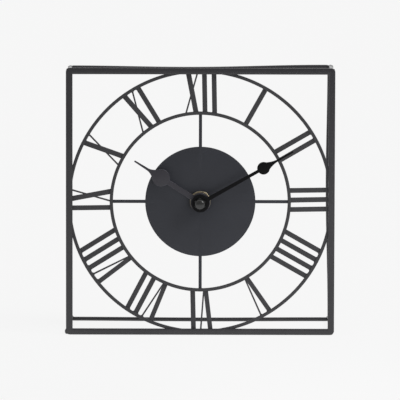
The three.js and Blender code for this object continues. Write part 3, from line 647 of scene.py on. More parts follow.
@dataclass(frozen=True)
class BareMetal(Finish):
    """Bare metal with fine marks, round the hub where it is turned and along X where it is drawn."""

    rough: float  # its mean roughness
    weave: Weave  # how the marks run
    # tarnish is also the colour of the painted shade below the hub, where its heights are given
    tarnish: Colour  # the colour of its dull patches
    relief: float = 0.004 * MM  # the height of the marks
    # the heights over the hub between which painted shade in the tarnish's colour fades out upwards,
    # darkening the metal's lower part, if it is painted
    painted_shade_heights: Pair | None = None

    def marks(self, shader: Shader) -> Socket:
        """The height of the marks: noise of the distance from the hub, or noise drawn out along X.

        Args:
            shader: The metal's node tree.

        Returns:
            The height.
        """
        if self.weave is Weave.DRAWN:
            return shader.noise(1, 3, shader.stretched((1 / (6 * MM), 1 / (0.08 * MM), 1 / (0.08 * MM))))
        flat = shader.stretched((1, 0, 1), (-HUB[0], 0, -HUB[1]))
        distance = shader.node("ShaderNodeVectorMath", {0: flat}, operation="LENGTH").outputs["Value"]
        inputs = {"W": distance, "Scale": 1 / (0.1 * MM), "Detail": 3}
        return shader.node("ShaderNodeTexNoise", inputs, noise_dimensions="1D").outputs["Fac"]

    def material(self) -> Material:
        """Makes the metal.

        Returns:
            The metal.
        """
        shader = Shader(self.slot, Metallic=1.0)
        marks = self.marks(shader)
        patches = shader.soft(2.2 * MM, 4, high=0.5, start=0.45, end=0.75)
        # painted shade: below the given heights over the hub the metal takes the tarnish's colour, darker
        # towards the bottom where its lower part lies in shade
        if self.painted_shade_heights is not None:
            low, high = (HUB[1] + height for height in self.painted_shade_heights)
            lower = shader.spread(shader.axis(shader.place, "Z"), 1, 0, start=low, end=high)
            patches = shader.math("MAXIMUM", patches, lower)
        metal = shader.blend(patches, self.colour, self.tarnish)
        metal = shader.blend(shader.spread(marks, 0, 0.25), metal, scaled(self.colour, 0.7))
        rough = shader.spread(marks, self.rough - 0.06, self.rough + 0.1)
        return shader.done(metal, rough, shader.bump(marks, self.relief))


@dataclass(frozen=True)
class PolishedBlack(Finish):
    """Hard black lacquer over metal: deep gloss with faint polishing swirls."""

    def material(self) -> Material:
        """Makes the lacquer.

        Returns:
            The lacquer.
        """
        shader = Shader(self.slot, Specular_IOR_Level=0.5, Coat_Weight=0.5, Coat_Roughness=0.2)
        paint = shader.shades(shader.soft(1.6 * MM, 3), self.colour, 0.8, 1.3)
        paint = shader.wear_and_sheen(paint, self.colour, 3)
        rough = shader.soft(0.3 * MM, 4, 0.24, 0.34)
        return shader.done(paint, rough, shader.bump(shader.noise(0.4 * MM, 3), 0.003 * MM))


@dataclass(frozen=True)
class Winding(Finish):
    """Enamelled copper wire, wound side by side along X."""

    pitch: float = 0.14 * MM  # the distance between turns

    def material(self) -> Material:
        """Makes the winding.

        Returns:
            The wound wire.
        """
        shader = Shader(self.slot, Metallic=1.0)
        inputs = {"Vector": shader.place, "Scale": 0.05 * TAU / self.pitch, "Distortion": 0.4}
        turns = shader.node("ShaderNodeTexWave", inputs, wave_type="BANDS", bands_direction="X",
                            wave_profile="SIN").outputs["Fac"]
        wire = shader.shades(turns, self.colour, 0.45, 1)
        return shader.done(wire, shader.soft(1.2 * MM, 2, 0.28, 0.42), shader.bump(turns, 0.04 * MM))


@dataclass(frozen=True)
class Board(Finish):
    """Green solder mask over copper tracks."""

    def material(self) -> Material:
        """Makes the board.

        Returns:
            The mask over its tracks.
        """
        shader = Shader(self.slot, Coat_Weight=0.3)
        inputs = {"Vector": shader.place, "Scale": 1 / (6 * MM), "Mortar Size": 0.05}
        tracks = shader.node("ShaderNodeTexBrick", inputs).outputs["Fac"]
        mask = shader.shades(tracks, self.colour, 1, 1.9)
        return shader.done(mask, shader.soft(0.8 * MM, 2, 0.32, 0.45), shader.bump(tracks, 0.03 * MM))


@dataclass(frozen=True)
class Film(Finish):
    """The shrunk film sleeve of the cell: two plain bands of colour with a bright line between them."""

    cap: Colour  # the short band's colour
    line: Colour  # the bright line's colour
    border: float  # where the short band starts, along X

    def material(self) -> Material:
        """Makes the film.

        Returns:
            The film.
        """
        half_line = 0.45 * MM
        shader = Shader(self.slot, Metallic=0.25, Coat_Weight=0.5, Coat_Roughness=0.08)
        along = shader.axis(shader.place, "X")
        band = shader.shades(shader.soft(5 * MM, 3, high=0.12), self.colour, 1, 1.8)
        band = shader.blend(shader.math("GREATER_THAN", along, self.border), band, self.cap)
        band = shader.blend(shader.math("COMPARE", along, self.border, half_line), band, self.line)
        rough = shader.soft(3 * MM, 3, 0.22, 0.34)
        return shader.done(band, rough, shader.bump(shader.noise(2.5 * MM), 0.02 * MM))


@dataclass(frozen=True)
class Finishes:
    """The clock's finishes, each made once."""

    frame: Finish = PowderCoat("frame_black", (0.0272, 0.0262, 0.0295), rough=0.24, specular=0.55,
                               peel=0.005 * MM)
    dial: Finish = PowderCoat("dial_black", (0.0385, 0.038, 0.041), specular=0.4)
    disc: Finish = PowderCoat("dial_black", (0.0235, 0.025, 0.0315), specular=0.4, tone="_disc")
    # the hour hand: its edges 3.2 times as pale, partly wear and partly a painted highlight of the light
    # along them
    hour_hand: Finish = PowderCoat("hour_hand_grey", (0.031, 0.0295, 0.0365), rough=0.36, specular=0.4,
                                   peel=0.005 * MM, edge_gain=3.2)
    minute_hand: Finish = PowderCoat("minute_hand_black", (0.0035, 0.0035, 0.004), specular=0.12,
                                     peel=0.005 * MM)
    cap: Finish = PolishedBlack("cap_black", (0.009, 0.009, 0.009))
    # the brass: tarnish in patches, and painted shade over its lower part, full below 0.5 mm over the hub and
    # gone by 3.4 mm
    brass: Finish = BareMetal("brass", (0.76, 0.64, 0.44), rough=0.36, weave=Weave.TURNED,
                              tarnish=(0.17, 0.16, 0.135), relief=0.02 * MM, painted_shade_heights=(0.5 * MM, 3.4 * MM))
    rubber: Finish = Moulding("rubber", (0.009, 0.009, 0.009), rough=0.8, spark=0.02 * MM, specular=0.2)
    case: Finish = Moulding("case_plastic", (0.013, 0.013, 0.0135), rough=0.48, spark=0.012 * MM)
    wheel: Finish = Moulding("wheel_plastic", (0.74, 0.71, 0.63), rough=0.38, spark=0.004 * MM)
    steel: Finish = BareMetal("steel", (0.56, 0.56, 0.57), rough=0.26, weave=Weave.DRAWN,
                              tarnish=(0.4, 0.39, 0.38))
    board: Finish = Board("board", (0.014, 0.1, 0.037))
    copper: Finish = Winding("copper", (0.6, 0.24, 0.1))
    film: Finish = Film("cell_sleeve", (0.042, 0.114, 0.254), cap=(0.05, 0.05, 0.055),
                        line=(0.5, 0.5, 0.5), border=13 * MM)


@dataclass
class Workshop:
    """Makes pieces: it keeps the frame's nodes and the finished materials."""

    nodes: dict[str, Thing]  # the CAD nodes by name
    finishes: Finishes = field(default_factory=Finishes)  # the finishes of the clock
    materials: dict[Finish, Material] = field(default_factory=dict)  # the materials made so far, by finish

    def material(self, finish: Finish) -> Material:
        """The material of a finish, made at its first use.

        Args:
            finish: What the material is made for.

        Returns:
            The material.
        """
        if finish not in self.materials:
            self.materials[finish] = finish.material()
        return self.materials[finish]

    def piece(self, name: str, parts: list[Part], finish: Finish, *stands_for: str,
              body: Body = Body.CLOCK) -> None:
        """Turns parts into one piece of the clock.

        Args:
            name: The piece's name.
            parts: Its closed surfaces.
            finish: What it is covered with.
            stands_for: The CAD nodes that it replaces.
            body: The body that it rides on.
        """
        counts = np.cumsum([0] + [len(part.points) for part in parts])
        faces: list[list[int]] = []
        smooth: list[bool] = []
        for start, part in zip(counts, parts):
            faces += (part.quads + start).tolist() + (part.triangles + start).tolist()
            smooth += [True] * len(part.quads) + [part.smooth_ends] * len(part.triangles)
        mesh = bpy.data.meshes.new(name)
        mesh.from_pydata(np.concatenate([part.points for part in parts]).tolist(), [], faces)
        mesh.polygons.foreach_set("use_smooth", smooth)
        mesh.set_sharp_from_angle(angle=SHARP_ANGLE)
        wear = mesh.attributes.new(WEAR, "FLOAT", "POINT")
        wear.data.foreach_set("value", np.concatenate([part.wear for part in parts]).astype(np.float32))
        mesh.materials.append(self.material(finish))
        mesh.update()
        made = bpy.data.objects.new(name, mesh)
        bpy.context.scene.collection.objects.link(made)
        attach(made, body.value)
        if stands_for:
            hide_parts(*stands_for)
        log.info("%s: %d faces, %s, on %s", name, len(faces), finish.slot, body.value)

    def dress(self, finish: Finish, *names: str) -> None:
        """Gives CAD nodes that stay a finish.

        Args:
            finish: What covers them.
            names: The nodes' names.
        """
        for name in names:
            node = self.nodes[name]
            node.data.materials.clear()
            node.data.materials.append(self.material(finish))
            log.info("%s: kept, %s", name, finish.slot)


@dataclass
class Box:
    """A CAD node's box."""

    low: Array  # its lowest corner
    high: Array  # its highest corner

    @classmethod
    def of(cls, node: str) -> Box:
        """The box of a node at rest."""
        low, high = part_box(node)
        return cls(np.array(low), np.array(high))

    @property
    def front(self) -> float:
        """The depth of its front."""
        return float(self.low[1])

    @property
    def back(self) -> float:
        """The depth of its back."""
        return float(self.high[1])

    @property
    def flat(self) -> tuple[Array, Array]:
        """Its lowest and highest corners in the dial plane, as x and z."""
        return self.low[[0, 2]], self.high[[0, 2]]

    @property
    def radius(self) -> float:
        """Half its width."""
        return float(self.high[0] - self.low[0]) / 2

    @property
    def centre(self) -> Array:
        """Its middle in the dial plane, as x and z."""
        return (self.low + self.high)[[0, 2]] / 2


@dataclass
class Framework:
    """The front frame, the rear loop and the four struts with their welds."""

    bar_width: float = 4.5 * MM  # the width of the front frame's bars
    corner: float = 3.1 * MM  # the radius of its outer corners
    inner_corner: float = 0.3 * MM  # the radius of its inner corners
    edge: float = 0.2 * MM  # the radius of its edges
    left_extra: float = 0.2 * MM  # how much wider the left bar is
    rod_bend: float = 2.5 * MM  # the radius of the rear loop's bends, to the rod's middle
    # how far the loop's top, left, bottom and right rods bow in
    bows: tuple[float, ...] = (1.3 * MM, 0.0, -0.4 * MM, 1.3 * MM)
    # how far its corners lie from their places, as x and z, in the order top right, top left, bottom left
    # and bottom right
    skews: tuple[Pair, ...] = ((-1 * MM, 0.9 * MM), (0.0, 0.0), (0.0, 0.4 * MM), (0.0, 0.4 * MM))
    splay: float = 0.5 * MM  # how far the struts' rear ends stand out to the sides
    weld: float = 0.7 * MM  # the size of a weld's fillet
    bead: float = 1.5 * MM  # the radius of the bead of weld at the bottom left corner
    bead_reach: float = 2.2 * MM  # half that bead's length
    # the bead's middle, from the corner's left, back and foot
    bead_place: Triple = (0.45 * MM, 0.2 * MM, 2.3 * MM)
    ripple: float = 0.08 * MM  # how uneven the welds are

    def front(self) -> Part:
        """The front square with its window.

        Returns:
            The square.
        """
        box = Box.of("front_frame")
        low, high = box.flat
        inset = self.bar_width + COAT
        outline = rectangle_loop(low - [COAT, 0], high + COAT, self.corner)
        window = rectangle_loop(low + inset + [self.left_extra, 0], high - inset, self.inner_corner,
                                hole=True, steps=3)
        return plate([outline, window], box.front, box.back, self.edge)

    def weld_bead(self) -> Part:
        """The bead of weld on the outside of the bottom left corner: a rod whose ends taper off.

        Returns:
            The bead.
        """
        box = Box.of("front_frame")
        share = np.linspace(-1, 1, 15)[1:-1]
        middle = np.array([box.low[0], box.back, box.low[2]]) + self.bead_place
        path = middle + self.bead_reach * share[:, None] * np.array([0, 0, 1])
        return rod(path, self.bead * np.sqrt(1 - share**2), Vector((1, 0, 0)), loop=False)

    def loop_line(self) -> Array:
        """The rear loop's centre line: a rounded rectangle that is bent and a little out of square.

        Each side's bow is its depth times the squared sine of the way along the side, and the step from
        one corner's skew to the next is shared out as the squared sine of half that way.

        Returns:
            The line's points, which close on themselves.
        """
        bend, bend_steps, side_steps = self.rod_bend, 12, 40
        box = Box.of("rear_frame")
        radius = (box.back - box.front) / 2
        (left, low), (right, high) = box.flat[0] + radius, box.flat[1] - radius
        corners = np.array([(right, high), (left, high), (left, low), (right, low)])
        skews = np.array(self.skews)
        share = np.linspace(0, 1, side_steps, endpoint=False)[1:, None]
        line = []
        for turn, (corner, bow) in enumerate(zip(corners, self.bows)):
            following = (turn + 1) % 4
            heart = corner - np.copysign(bend, corner - [0, (low + high) / 2]) + skews[turn]
            line.append(arc(heart, bend, turn * QUARTER, (turn + 1) * QUARTER, bend_steps))
            span = corners[following] - corner
            along = span / np.linalg.norm(span)
            run = share * (span - 2 * bend * along)
            step = np.sin(share * QUARTER) ** 2 * (skews[following] - skews[turn])
            inwards = np.sin(share * math.pi) ** 2 * np.array([-along[1], along[0]])
            line.append(line[-1][-1] + run + step + bow * inwards)
        flat = np.concatenate(line)
        return np.insert(flat, 1, (box.front + box.back) / 2, axis=1)

    def strut(self, name: str, skew: Pair) -> Part:
        """A strut with a welded fillet at both ends.

        At a distance s from an end the fillet adds weld - sqrt(weld^2 - (weld - s)^2) to the radius,
        with a ripple of a few waves round the rod.

        Args:
            name: The strut's node.
            skew: How far its rear end lies from its place, as x and z.

        Returns:
            The strut.
        """
        sides, steps = 32, 12
        box, rear = Box.of(name), Box.of("rear_frame")
        radius = box.radius
        rise = (box.high[2] - box.low[2]) - 2 * radius
        x, middle = box.centre
        start_z, end_z = middle + rise / 2, middle - rise / 2
        length = (rear.front + rear.back) / 2 - box.front
        fillet = self.weld * (1 - np.cos(np.linspace(QUARTER, 0, steps)))
        near = np.concatenate([fillet[0] - fillet, np.linspace(self.weld, length / 2, steps)[1:]])
        places = np.concatenate([near, (length - near)[::-1][1:]])
        gap = np.minimum(places, np.maximum(length - radius - places, 0))
        short = np.clip(self.weld - gap, 0, self.weld)
        flare = self.weld - np.sqrt(self.weld**2 - short**2)
        angles = full_turn(sides)
        wave = np.sin(3 * angles + x / MM) + np.sin(7 * angles + 2 * places[:, None] / MM)
        radii = radius + flare[:, None] + self.ripple * (short / self.weld)[:, None] * wave
        share = places / length
        heights = start_z + (end_z + skew[1] - start_z) * share
        path = np.stack([x + skew[0] * share, box.front + places, heights], axis=-1)
        return rod(path, radii, Vector((1, 0, 0)), loop=False, sides=sides)

    def build(self, shop: Workshop) -> None:
        """Makes the frame's pieces.

        Args:
            shop: Makes the pieces and keeps their finishes.
        """
        paint = shop.finishes.frame
        shop.piece("front_square", [self.front(), self.weld_bead()], paint, "front_frame")
        line, rear = self.loop_line(), Box.of("rear_frame")
        loop = rod(line, np.full(len(line), (rear.back - rear.front) / 2), Vector((0, 1, 0)), loop=True)
        shop.piece("rear_loop", [loop], paint, "rear_frame")
        struts = ("strut_top_right", "strut_top_left", "strut_bottom_left", "strut_bottom_right")
        for name, (_, rise), side in zip(struts, self.skews, (1, -1, -1, 1)):
            shop.piece(f"{name}_rod", [self.strut(name, (side * self.splay, rise))], paint, name)


@dataclass
class Dial:
    """The open dial: two rings, the disc on its spokes, and the numerals."""

    ring_width: float = 2.25 * MM  # the width of either ring
    spoke_width: float = 2.15 * MM  # the width of a spoke
    disc_radius: float = 40.95 * MM  # the radius of the disc
    hub_bore: float = 4.05 * MM  # the radius of the hole for the bushing
    edge: float = 0.2 * MM  # the radius of the sheet's edges
    # the radius of a drop of weld at the outer ring, and of one at the inner ring
    drops: Pair = (0.8 * MM, 0.5 * MM)
    drop_depth: float = 0.42  # half a drop's depth, as a share of the sheet's
    drop_reach: float = 0.5 * MM  # how near a ring a corner has to be for a drop
    sharp: float = 0.4  # the sine of the turn that makes a corner

    def sheet(self, loops: list[Array], box: Box) -> Part:
        """A painted sheet as deep as a node's box."""
        return plate(loops, box.front, box.back, self.edge, coat=COAT)

    def ring(self, node: str) -> Part:
        """A flat ring.

        Args:
            node: The ring's node.

        Returns:
            The ring.
        """
        box, segments = Box.of(node), 288
        window = ring_loop(box.radius - self.ring_width, segments, box.centre, hole=True)
        return self.sheet([ring_loop(box.radius, segments, box.centre), window], box)

    def disc(self) -> Part:
        """The disc, its spokes and the hole in its middle.

        Returns:
            The disc.
        """
        box = Box.of("centre_disc")
        half = self.spoke_width / 2
        lean = math.asin(half / self.disc_radius)
        rim = arc((0, 0), self.disc_radius, lean, QUARTER - lean, 60)
        quarter = np.concatenate([[(box.radius, -half), (box.radius, half)], rim])
        turns = [np.array(Matrix.Rotation(turn * QUARTER, 2)) for turn in range(4)]
        outline = np.concatenate([quarter @ turn.T for turn in turns]) + box.centre
        return self.sheet([outline, ring_loop(self.hub_bore + COAT, 64, box.centre, hole=True)], box)

    def welds(self, loop: Array, box: Box) -> list[Part]:
        """Drops of weld where the corners of a stroke meet the rings.

        Each drop is half an ellipse carried round the depth axis.

        Args:
            loop: A numeral's loop.
            box: The numeral's box.

        Returns:
            The drops.
        """
        outer, inner = Box.of("outer_ring"), Box.of("inner_ring")
        reach = np.linalg.norm(loop - outer.centre, axis=1)
        middle, half = (box.front + box.back) / 2, self.drop_depth * (box.back - box.front)
        angles = np.linspace(0, math.pi, 9)[1:-1]
        welds = []
        for radius, size in zip((outer.radius - self.ring_width, inner.radius), self.drops):
            profile = np.stack([size * np.sin(angles), middle - half * np.cos(angles)], axis=-1)
            near = (bends(loop) > self.sharp) & (np.abs(reach - radius) < self.drop_reach)
            welds += [turned(profile, corner, 14, smooth_ends=True) for corner in loop[near]]
        return welds

    def build(self, shop: Workshop) -> None:
        """Makes the dial's pieces.

        Args:
            shop: Makes the pieces and keeps their finishes.
        """
        paint = shop.finishes.dial
        for side in ("outer", "inner"):
            node = f"{side}_ring"
            shop.piece(f"{side}_dial_ring", [self.ring(node)], paint, node)
        shop.piece("dial_disc", [self.disc()], shop.finishes.disc, "centre_disc")
        for hour in range(1, 13):
            node = f"numeral_{hour}"
            box, loops = Box.of(node), front_loops(shop.nodes[node])
            welds = [weld for loop in loops for weld in self.welds(loop, box)]
            shop.piece(f"{node}_strokes", [self.sheet(loops, box), *welds], paint, node)


@dataclass
class Hand:
    """A spade hand cut from thin sheet, with the collar that grips its shaft."""

    node: str  # its CAD node, which names it too
    body: Body  # the body that it rides on
    finish: Finish  # what it is covered with
    angle: float  # its place on the dial, in degrees clockwise from twelve
    hub: float  # the radius of its round end
    stem_root: float  # the stem's width at the hub
    stem_end: float  # the stem's width at the spade
    spade: float  # the radius of the spade
    spade_at: float  # how far the spade's middle lies from the hub
    flare: float  # the angle at which the spade's shoulders leave its round part, in degrees
    neck_at: float  # where the shoulders end
    neck_width: float  # the width there
    length: float  # the hand's length
    shaft: float  # the radius of the shaft that it sits on
    edge: float  # the radius of its edges
    tip_width: float = 1.2 * MM  # the width of its tip
    # where the shoulders' curves are drawn to, as shares of the spade's side and of the rise
    pull: Pair = (0.12, 0.45)
    sheet: float = 0.5 * MM  # its thickness
    collar_wall: float = 0.8 * MM  # the wall of the collar
    collar_lip: float = 0.15 * MM  # the chamfer of the collar's end
    collar_sunk: float = 0.6  # how deep the collar starts in the sheet, as a share of it
    fit: float = 0.15 * MM  # the clearance on the shaft
    play: float = 0.02 * MM  # how much wider the collar's bore is

    def outline(self) -> Array:
        """The hand's outline, pointing up: hub, stem, round spade, shoulders on two parabolas, and tip.

        Returns:
            The loop, as rows of x and z.
        """
        hub_lean = math.asin(self.stem_root / 2 / self.hub)
        stem_lean = math.asin(self.stem_end / 2 / self.spade)
        spade = arc((0, self.spade_at), self.spade, stem_lean - QUARTER, math.radians(self.flare), 36)
        neck = np.array([self.neck_width / 2, self.neck_at])
        out, up = self.pull
        side, rise = spade[-1]
        pulled = np.array([neck[0] + side * out, rise + (neck[1] - rise) * up])
        t = np.linspace(0, 1, 19)[1:, None]
        shoulder = (1 - t) ** 2 * spade[-1] + 2 * t * (1 - t) * pulled + t**2 * neck
        half = np.concatenate([spade, shoulder, [(self.tip_width / 2, self.length)]])
        hub = arc((0, 0), self.hub, QUARTER + hub_lean, QUARTER - hub_lean + TAU, 90)
        return np.concatenate([hub, half, (half * [-1, 1])[::-1]])

    def build(self, shop: Workshop) -> None:
        """Makes the blade and the collar.

        Args:
            shop: Makes the pieces and keeps their finishes.
        """
        box, bore, lip = Box.of(self.node), self.shaft + self.fit, self.collar_lip
        turn = np.array(Matrix.Rotation(-math.radians(self.angle), 2))
        blade = plate([self.outline() @ turn.T + HUB, ring_loop(bore, 48, HUB, hole=True)],
                      box.front, box.front + self.sheet, self.edge)
        inner, wall = bore + self.play, bore + self.collar_wall
        root, end = box.front + self.collar_sunk * self.sheet, box.back
        profile = [(inner, root), (wall, root), (wall, end - lip), (wall - lip, end), (bore + lip, end),
                   (inner, end - lip)]
        collar = turned(profile, HUB, 64, loop=True)
        shop.piece(f"{self.node}_blade", [blade, collar], self.finish, self.node, body=self.body)


@dataclass
class HexagonNut:
    """The shape of a hexagon nut."""

    flats: float  # the width across its flats
    turn: float  # the angle of one corner

    @property
    def corner(self) -> float:
        """The radius of its corners."""
        return self.flats / math.sqrt(3)

    def chamfer(self, start: float, drop: float, face: float) -> list[Pair]:
        """Rows of depth and limit that fall by a drop from a face's radius to the corners."""
        return [(start + drop * share, face + (self.corner - face) * share) for share in np.linspace(0, 1, 7)]

    def rings(self, profile: list[Pair], centre: Array) -> Array:
        """Rings at given depths, each as wide as the nut or its limit, whichever is less.

        The nut's radius is half the flats over the cosine of the angle from the middle of the nearest flat.

        Args:
            profile: Rows of depth and limit.
            centre: The nut's axis, as x and z.

        Returns:
            The rings as an array of rings, sides and coordinates.
        """
        angles, sixth = full_turn(120), TAU / 6
        reach = self.flats / 2 / np.cos(angles % sixth - sixth / 2)
        depth, limit = np.array(profile).T[..., None]
        return spun(np.minimum(reach, limit), depth, angles + self.turn, centre)


@dataclass
class Fixing:
    """What holds the movement and the hands: washers, nut, threaded bushing and acorn nut."""

    bore: float = 4.05 * MM  # the radius of the nut's and the rubber washer's holes
    slack: float = 0.35 * MM  # how loosely the brass washer sits on the bushing
    lips: Pair = (0.3 * MM, 0.15 * MM)  # the chamfers of the rubber washer and of the brass one
    nut_flats: float = 10.6 * MM  # the nut's width across its flats
    nut_chamfer: float = 0.55  # the slope of its corner chamfer
    nut_face: float = 0.1 * MM  # how far its flat face ends inside the flats
    nut_mouth: float = 0.3 * MM  # the depth of its countersink
    cap_flats: float = 7.9 * MM  # the acorn nut's width across its flats
    cap_base: float = 1.9 * MM  # the height of its hexagon
    cap_dome: float = 3.8 * MM  # the radius of its dome
    cap_brow: float = 26  # the slope at which the dome turns into its rim, in degrees
    cap_rim: float = 1.9 * MM  # the radius of that rim
    cap_chamfer: float = 1.4  # the slope of its corner chamfer
    cap_shift: Pair = (-0.3 * MM, -0.4 * MM)  # how far it sits beside the hub, as x and z
    washer_shift: Pair = (0.0, 0.35 * MM)  # how far the brass washer sits beside the hub, as x and z
    thread_pitch: float = 0.75 * MM  # the pitch of the bushing's thread
    thread_depth: float = 0.35 * MM  # the depth of that thread
    thread_lead: float = 0.4 * MM  # the length over which it grows to that depth
    bushing: float = 3.9 * MM  # the bushing's outer radius
    bushing_bore: float = 2.8 * MM  # the radius of its bore
    # how far it stands behind its node's front, and how far it reaches into the case
    bushing_ends: Pair = (0.05 * MM, 0.3 * MM)

    @staticmethod
    def washer(node: str, bore: float, lip: float, shift: Pair = (0, 0)) -> Part:
        """A washer with chamfered edges: a rectangle with cut corners, carried round the axis.

        Args:
            node: The washer's node.
            bore: The radius of its hole.
            lip: The size of its chamfers.
            shift: How far it sits beside its node, as x and z.

        Returns:
            The washer.
        """
        box = Box.of(node)
        outer, front, back = box.radius, box.front, box.back
        profile = [(bore, back - lip), (bore, front + lip), (bore + lip, front), (outer - lip, front),
                   (outer, front + lip), (outer, back - lip), (outer - lip, back), (bore + lip, back)]
        wear = np.array([0, 1, 1, 1, 1, 1, 1, 0])
        return turned(profile, box.centre + shift, 128, loop=True, wear=wear)

    def nut(self) -> Part:
        """The brass nut, with its corners chamfered at the front and a countersunk hole.

        Returns:
            The nut.
        """
        box, shape, mouth = Box.of("hex_nut"), HexagonNut(self.nut_flats, 0), self.nut_mouth
        half = self.nut_flats / 2
        front = shape.chamfer(box.front, self.nut_chamfer * (shape.corner - half), half - self.nut_face)
        rear = [(box.back, shape.corner), (box.back, self.bore)]
        hole = [(box.front + mouth, self.bore), (box.front, self.bore + mouth)]
        return lofted(shape.rings(front + rear + hole, box.centre), loop=True)

    def acorn(self) -> Part:
        """The acorn nut: a chamfered hexagon on its corner, a straight waist, and a low dome.

        The dome is part of a sphere: at the angle a its radius is R sin a and it has fallen R (1 - cos a).
        From the brow's angle on, a rim of a smaller radius r takes it on to the waist, by r sin a outwards.

        Returns:
            The acorn nut.
        """
        box, shape = Box.of("hand_cap"), HexagonNut(self.cap_flats, QUARTER)
        brow, rim, waist = math.radians(self.cap_brow), self.cap_rim, self.cap_dome
        hollow = waist - rim
        ball = rim + hollow / math.sin(brow)
        fall = box.front + ball * (1 - math.cos(brow))
        upper, lower = np.linspace(0, brow, 12)[1:], np.linspace(brow, QUARTER, 14)[1:]
        dome = [(box.front + ball * (1 - math.cos(a)), ball * math.sin(a)) for a in upper]
        dome += [(fall + rim * (math.cos(brow) - math.cos(a)), hollow + rim * math.sin(a)) for a in lower]
        drop = self.cap_chamfer * (shape.corner - waist)
        base = shape.chamfer(box.back - self.cap_base, drop, waist) + [(box.back, shape.corner)]
        return lofted(shape.rings(dome + base, box.centre + self.cap_shift), loop=False, smooth_ends=True)

    def thread(self, case_front: float) -> Part:
        """The threaded bushing: the radius falls by a triangle wave of the depth plus the angle.

        At its end the wave starts low and grows with the depth.

        Args:
            case_front: The depth of the case's front.

        Returns:
            The bushing.
        """
        end, (short, inside) = Box.of("movement_case_front").front, self.bushing_ends
        steps, low, angles = 8, 0.3, full_turn(72)
        depth = np.arange(end + short, case_front + inside, self.thread_pitch / steps)[:, None]
        wave = np.abs((depth / self.thread_pitch + angles / TAU) % 1 - 0.5) * 2
        taper = np.clip((depth - end) / self.thread_lead, low, 1)
        radius = self.bushing - self.thread_depth * (1 - wave * taper)
        bore = spun(np.full((2, 1), self.bushing_bore), depth[[-1, 0]], angles, HUB)
        return lofted(np.concatenate([spun(radius, depth, angles, HUB), bore]), loop=True)

    def build(self, shop: Workshop) -> None:
        """Makes the pieces of the fixing.

        Args:
            shop: Makes the pieces and keeps their finishes.
        """
        finishes, (soft, hard) = shop.finishes, self.lips
        rubber = self.washer("rubber_washer", self.bore, soft)
        brass = self.washer("brass_washer", self.bore + self.slack, hard, self.washer_shift)
        shop.piece("soft_washer", [rubber], finishes.rubber, "rubber_washer")
        shop.piece("flat_washer", [brass], finishes.brass, "brass_washer")
        shop.piece("clamp_nut", [self.nut()], finishes.brass, "hex_nut")
        shop.piece("acorn_nut", [self.acorn()], finishes.cap, "hand_cap", body=Body.MINUTE)


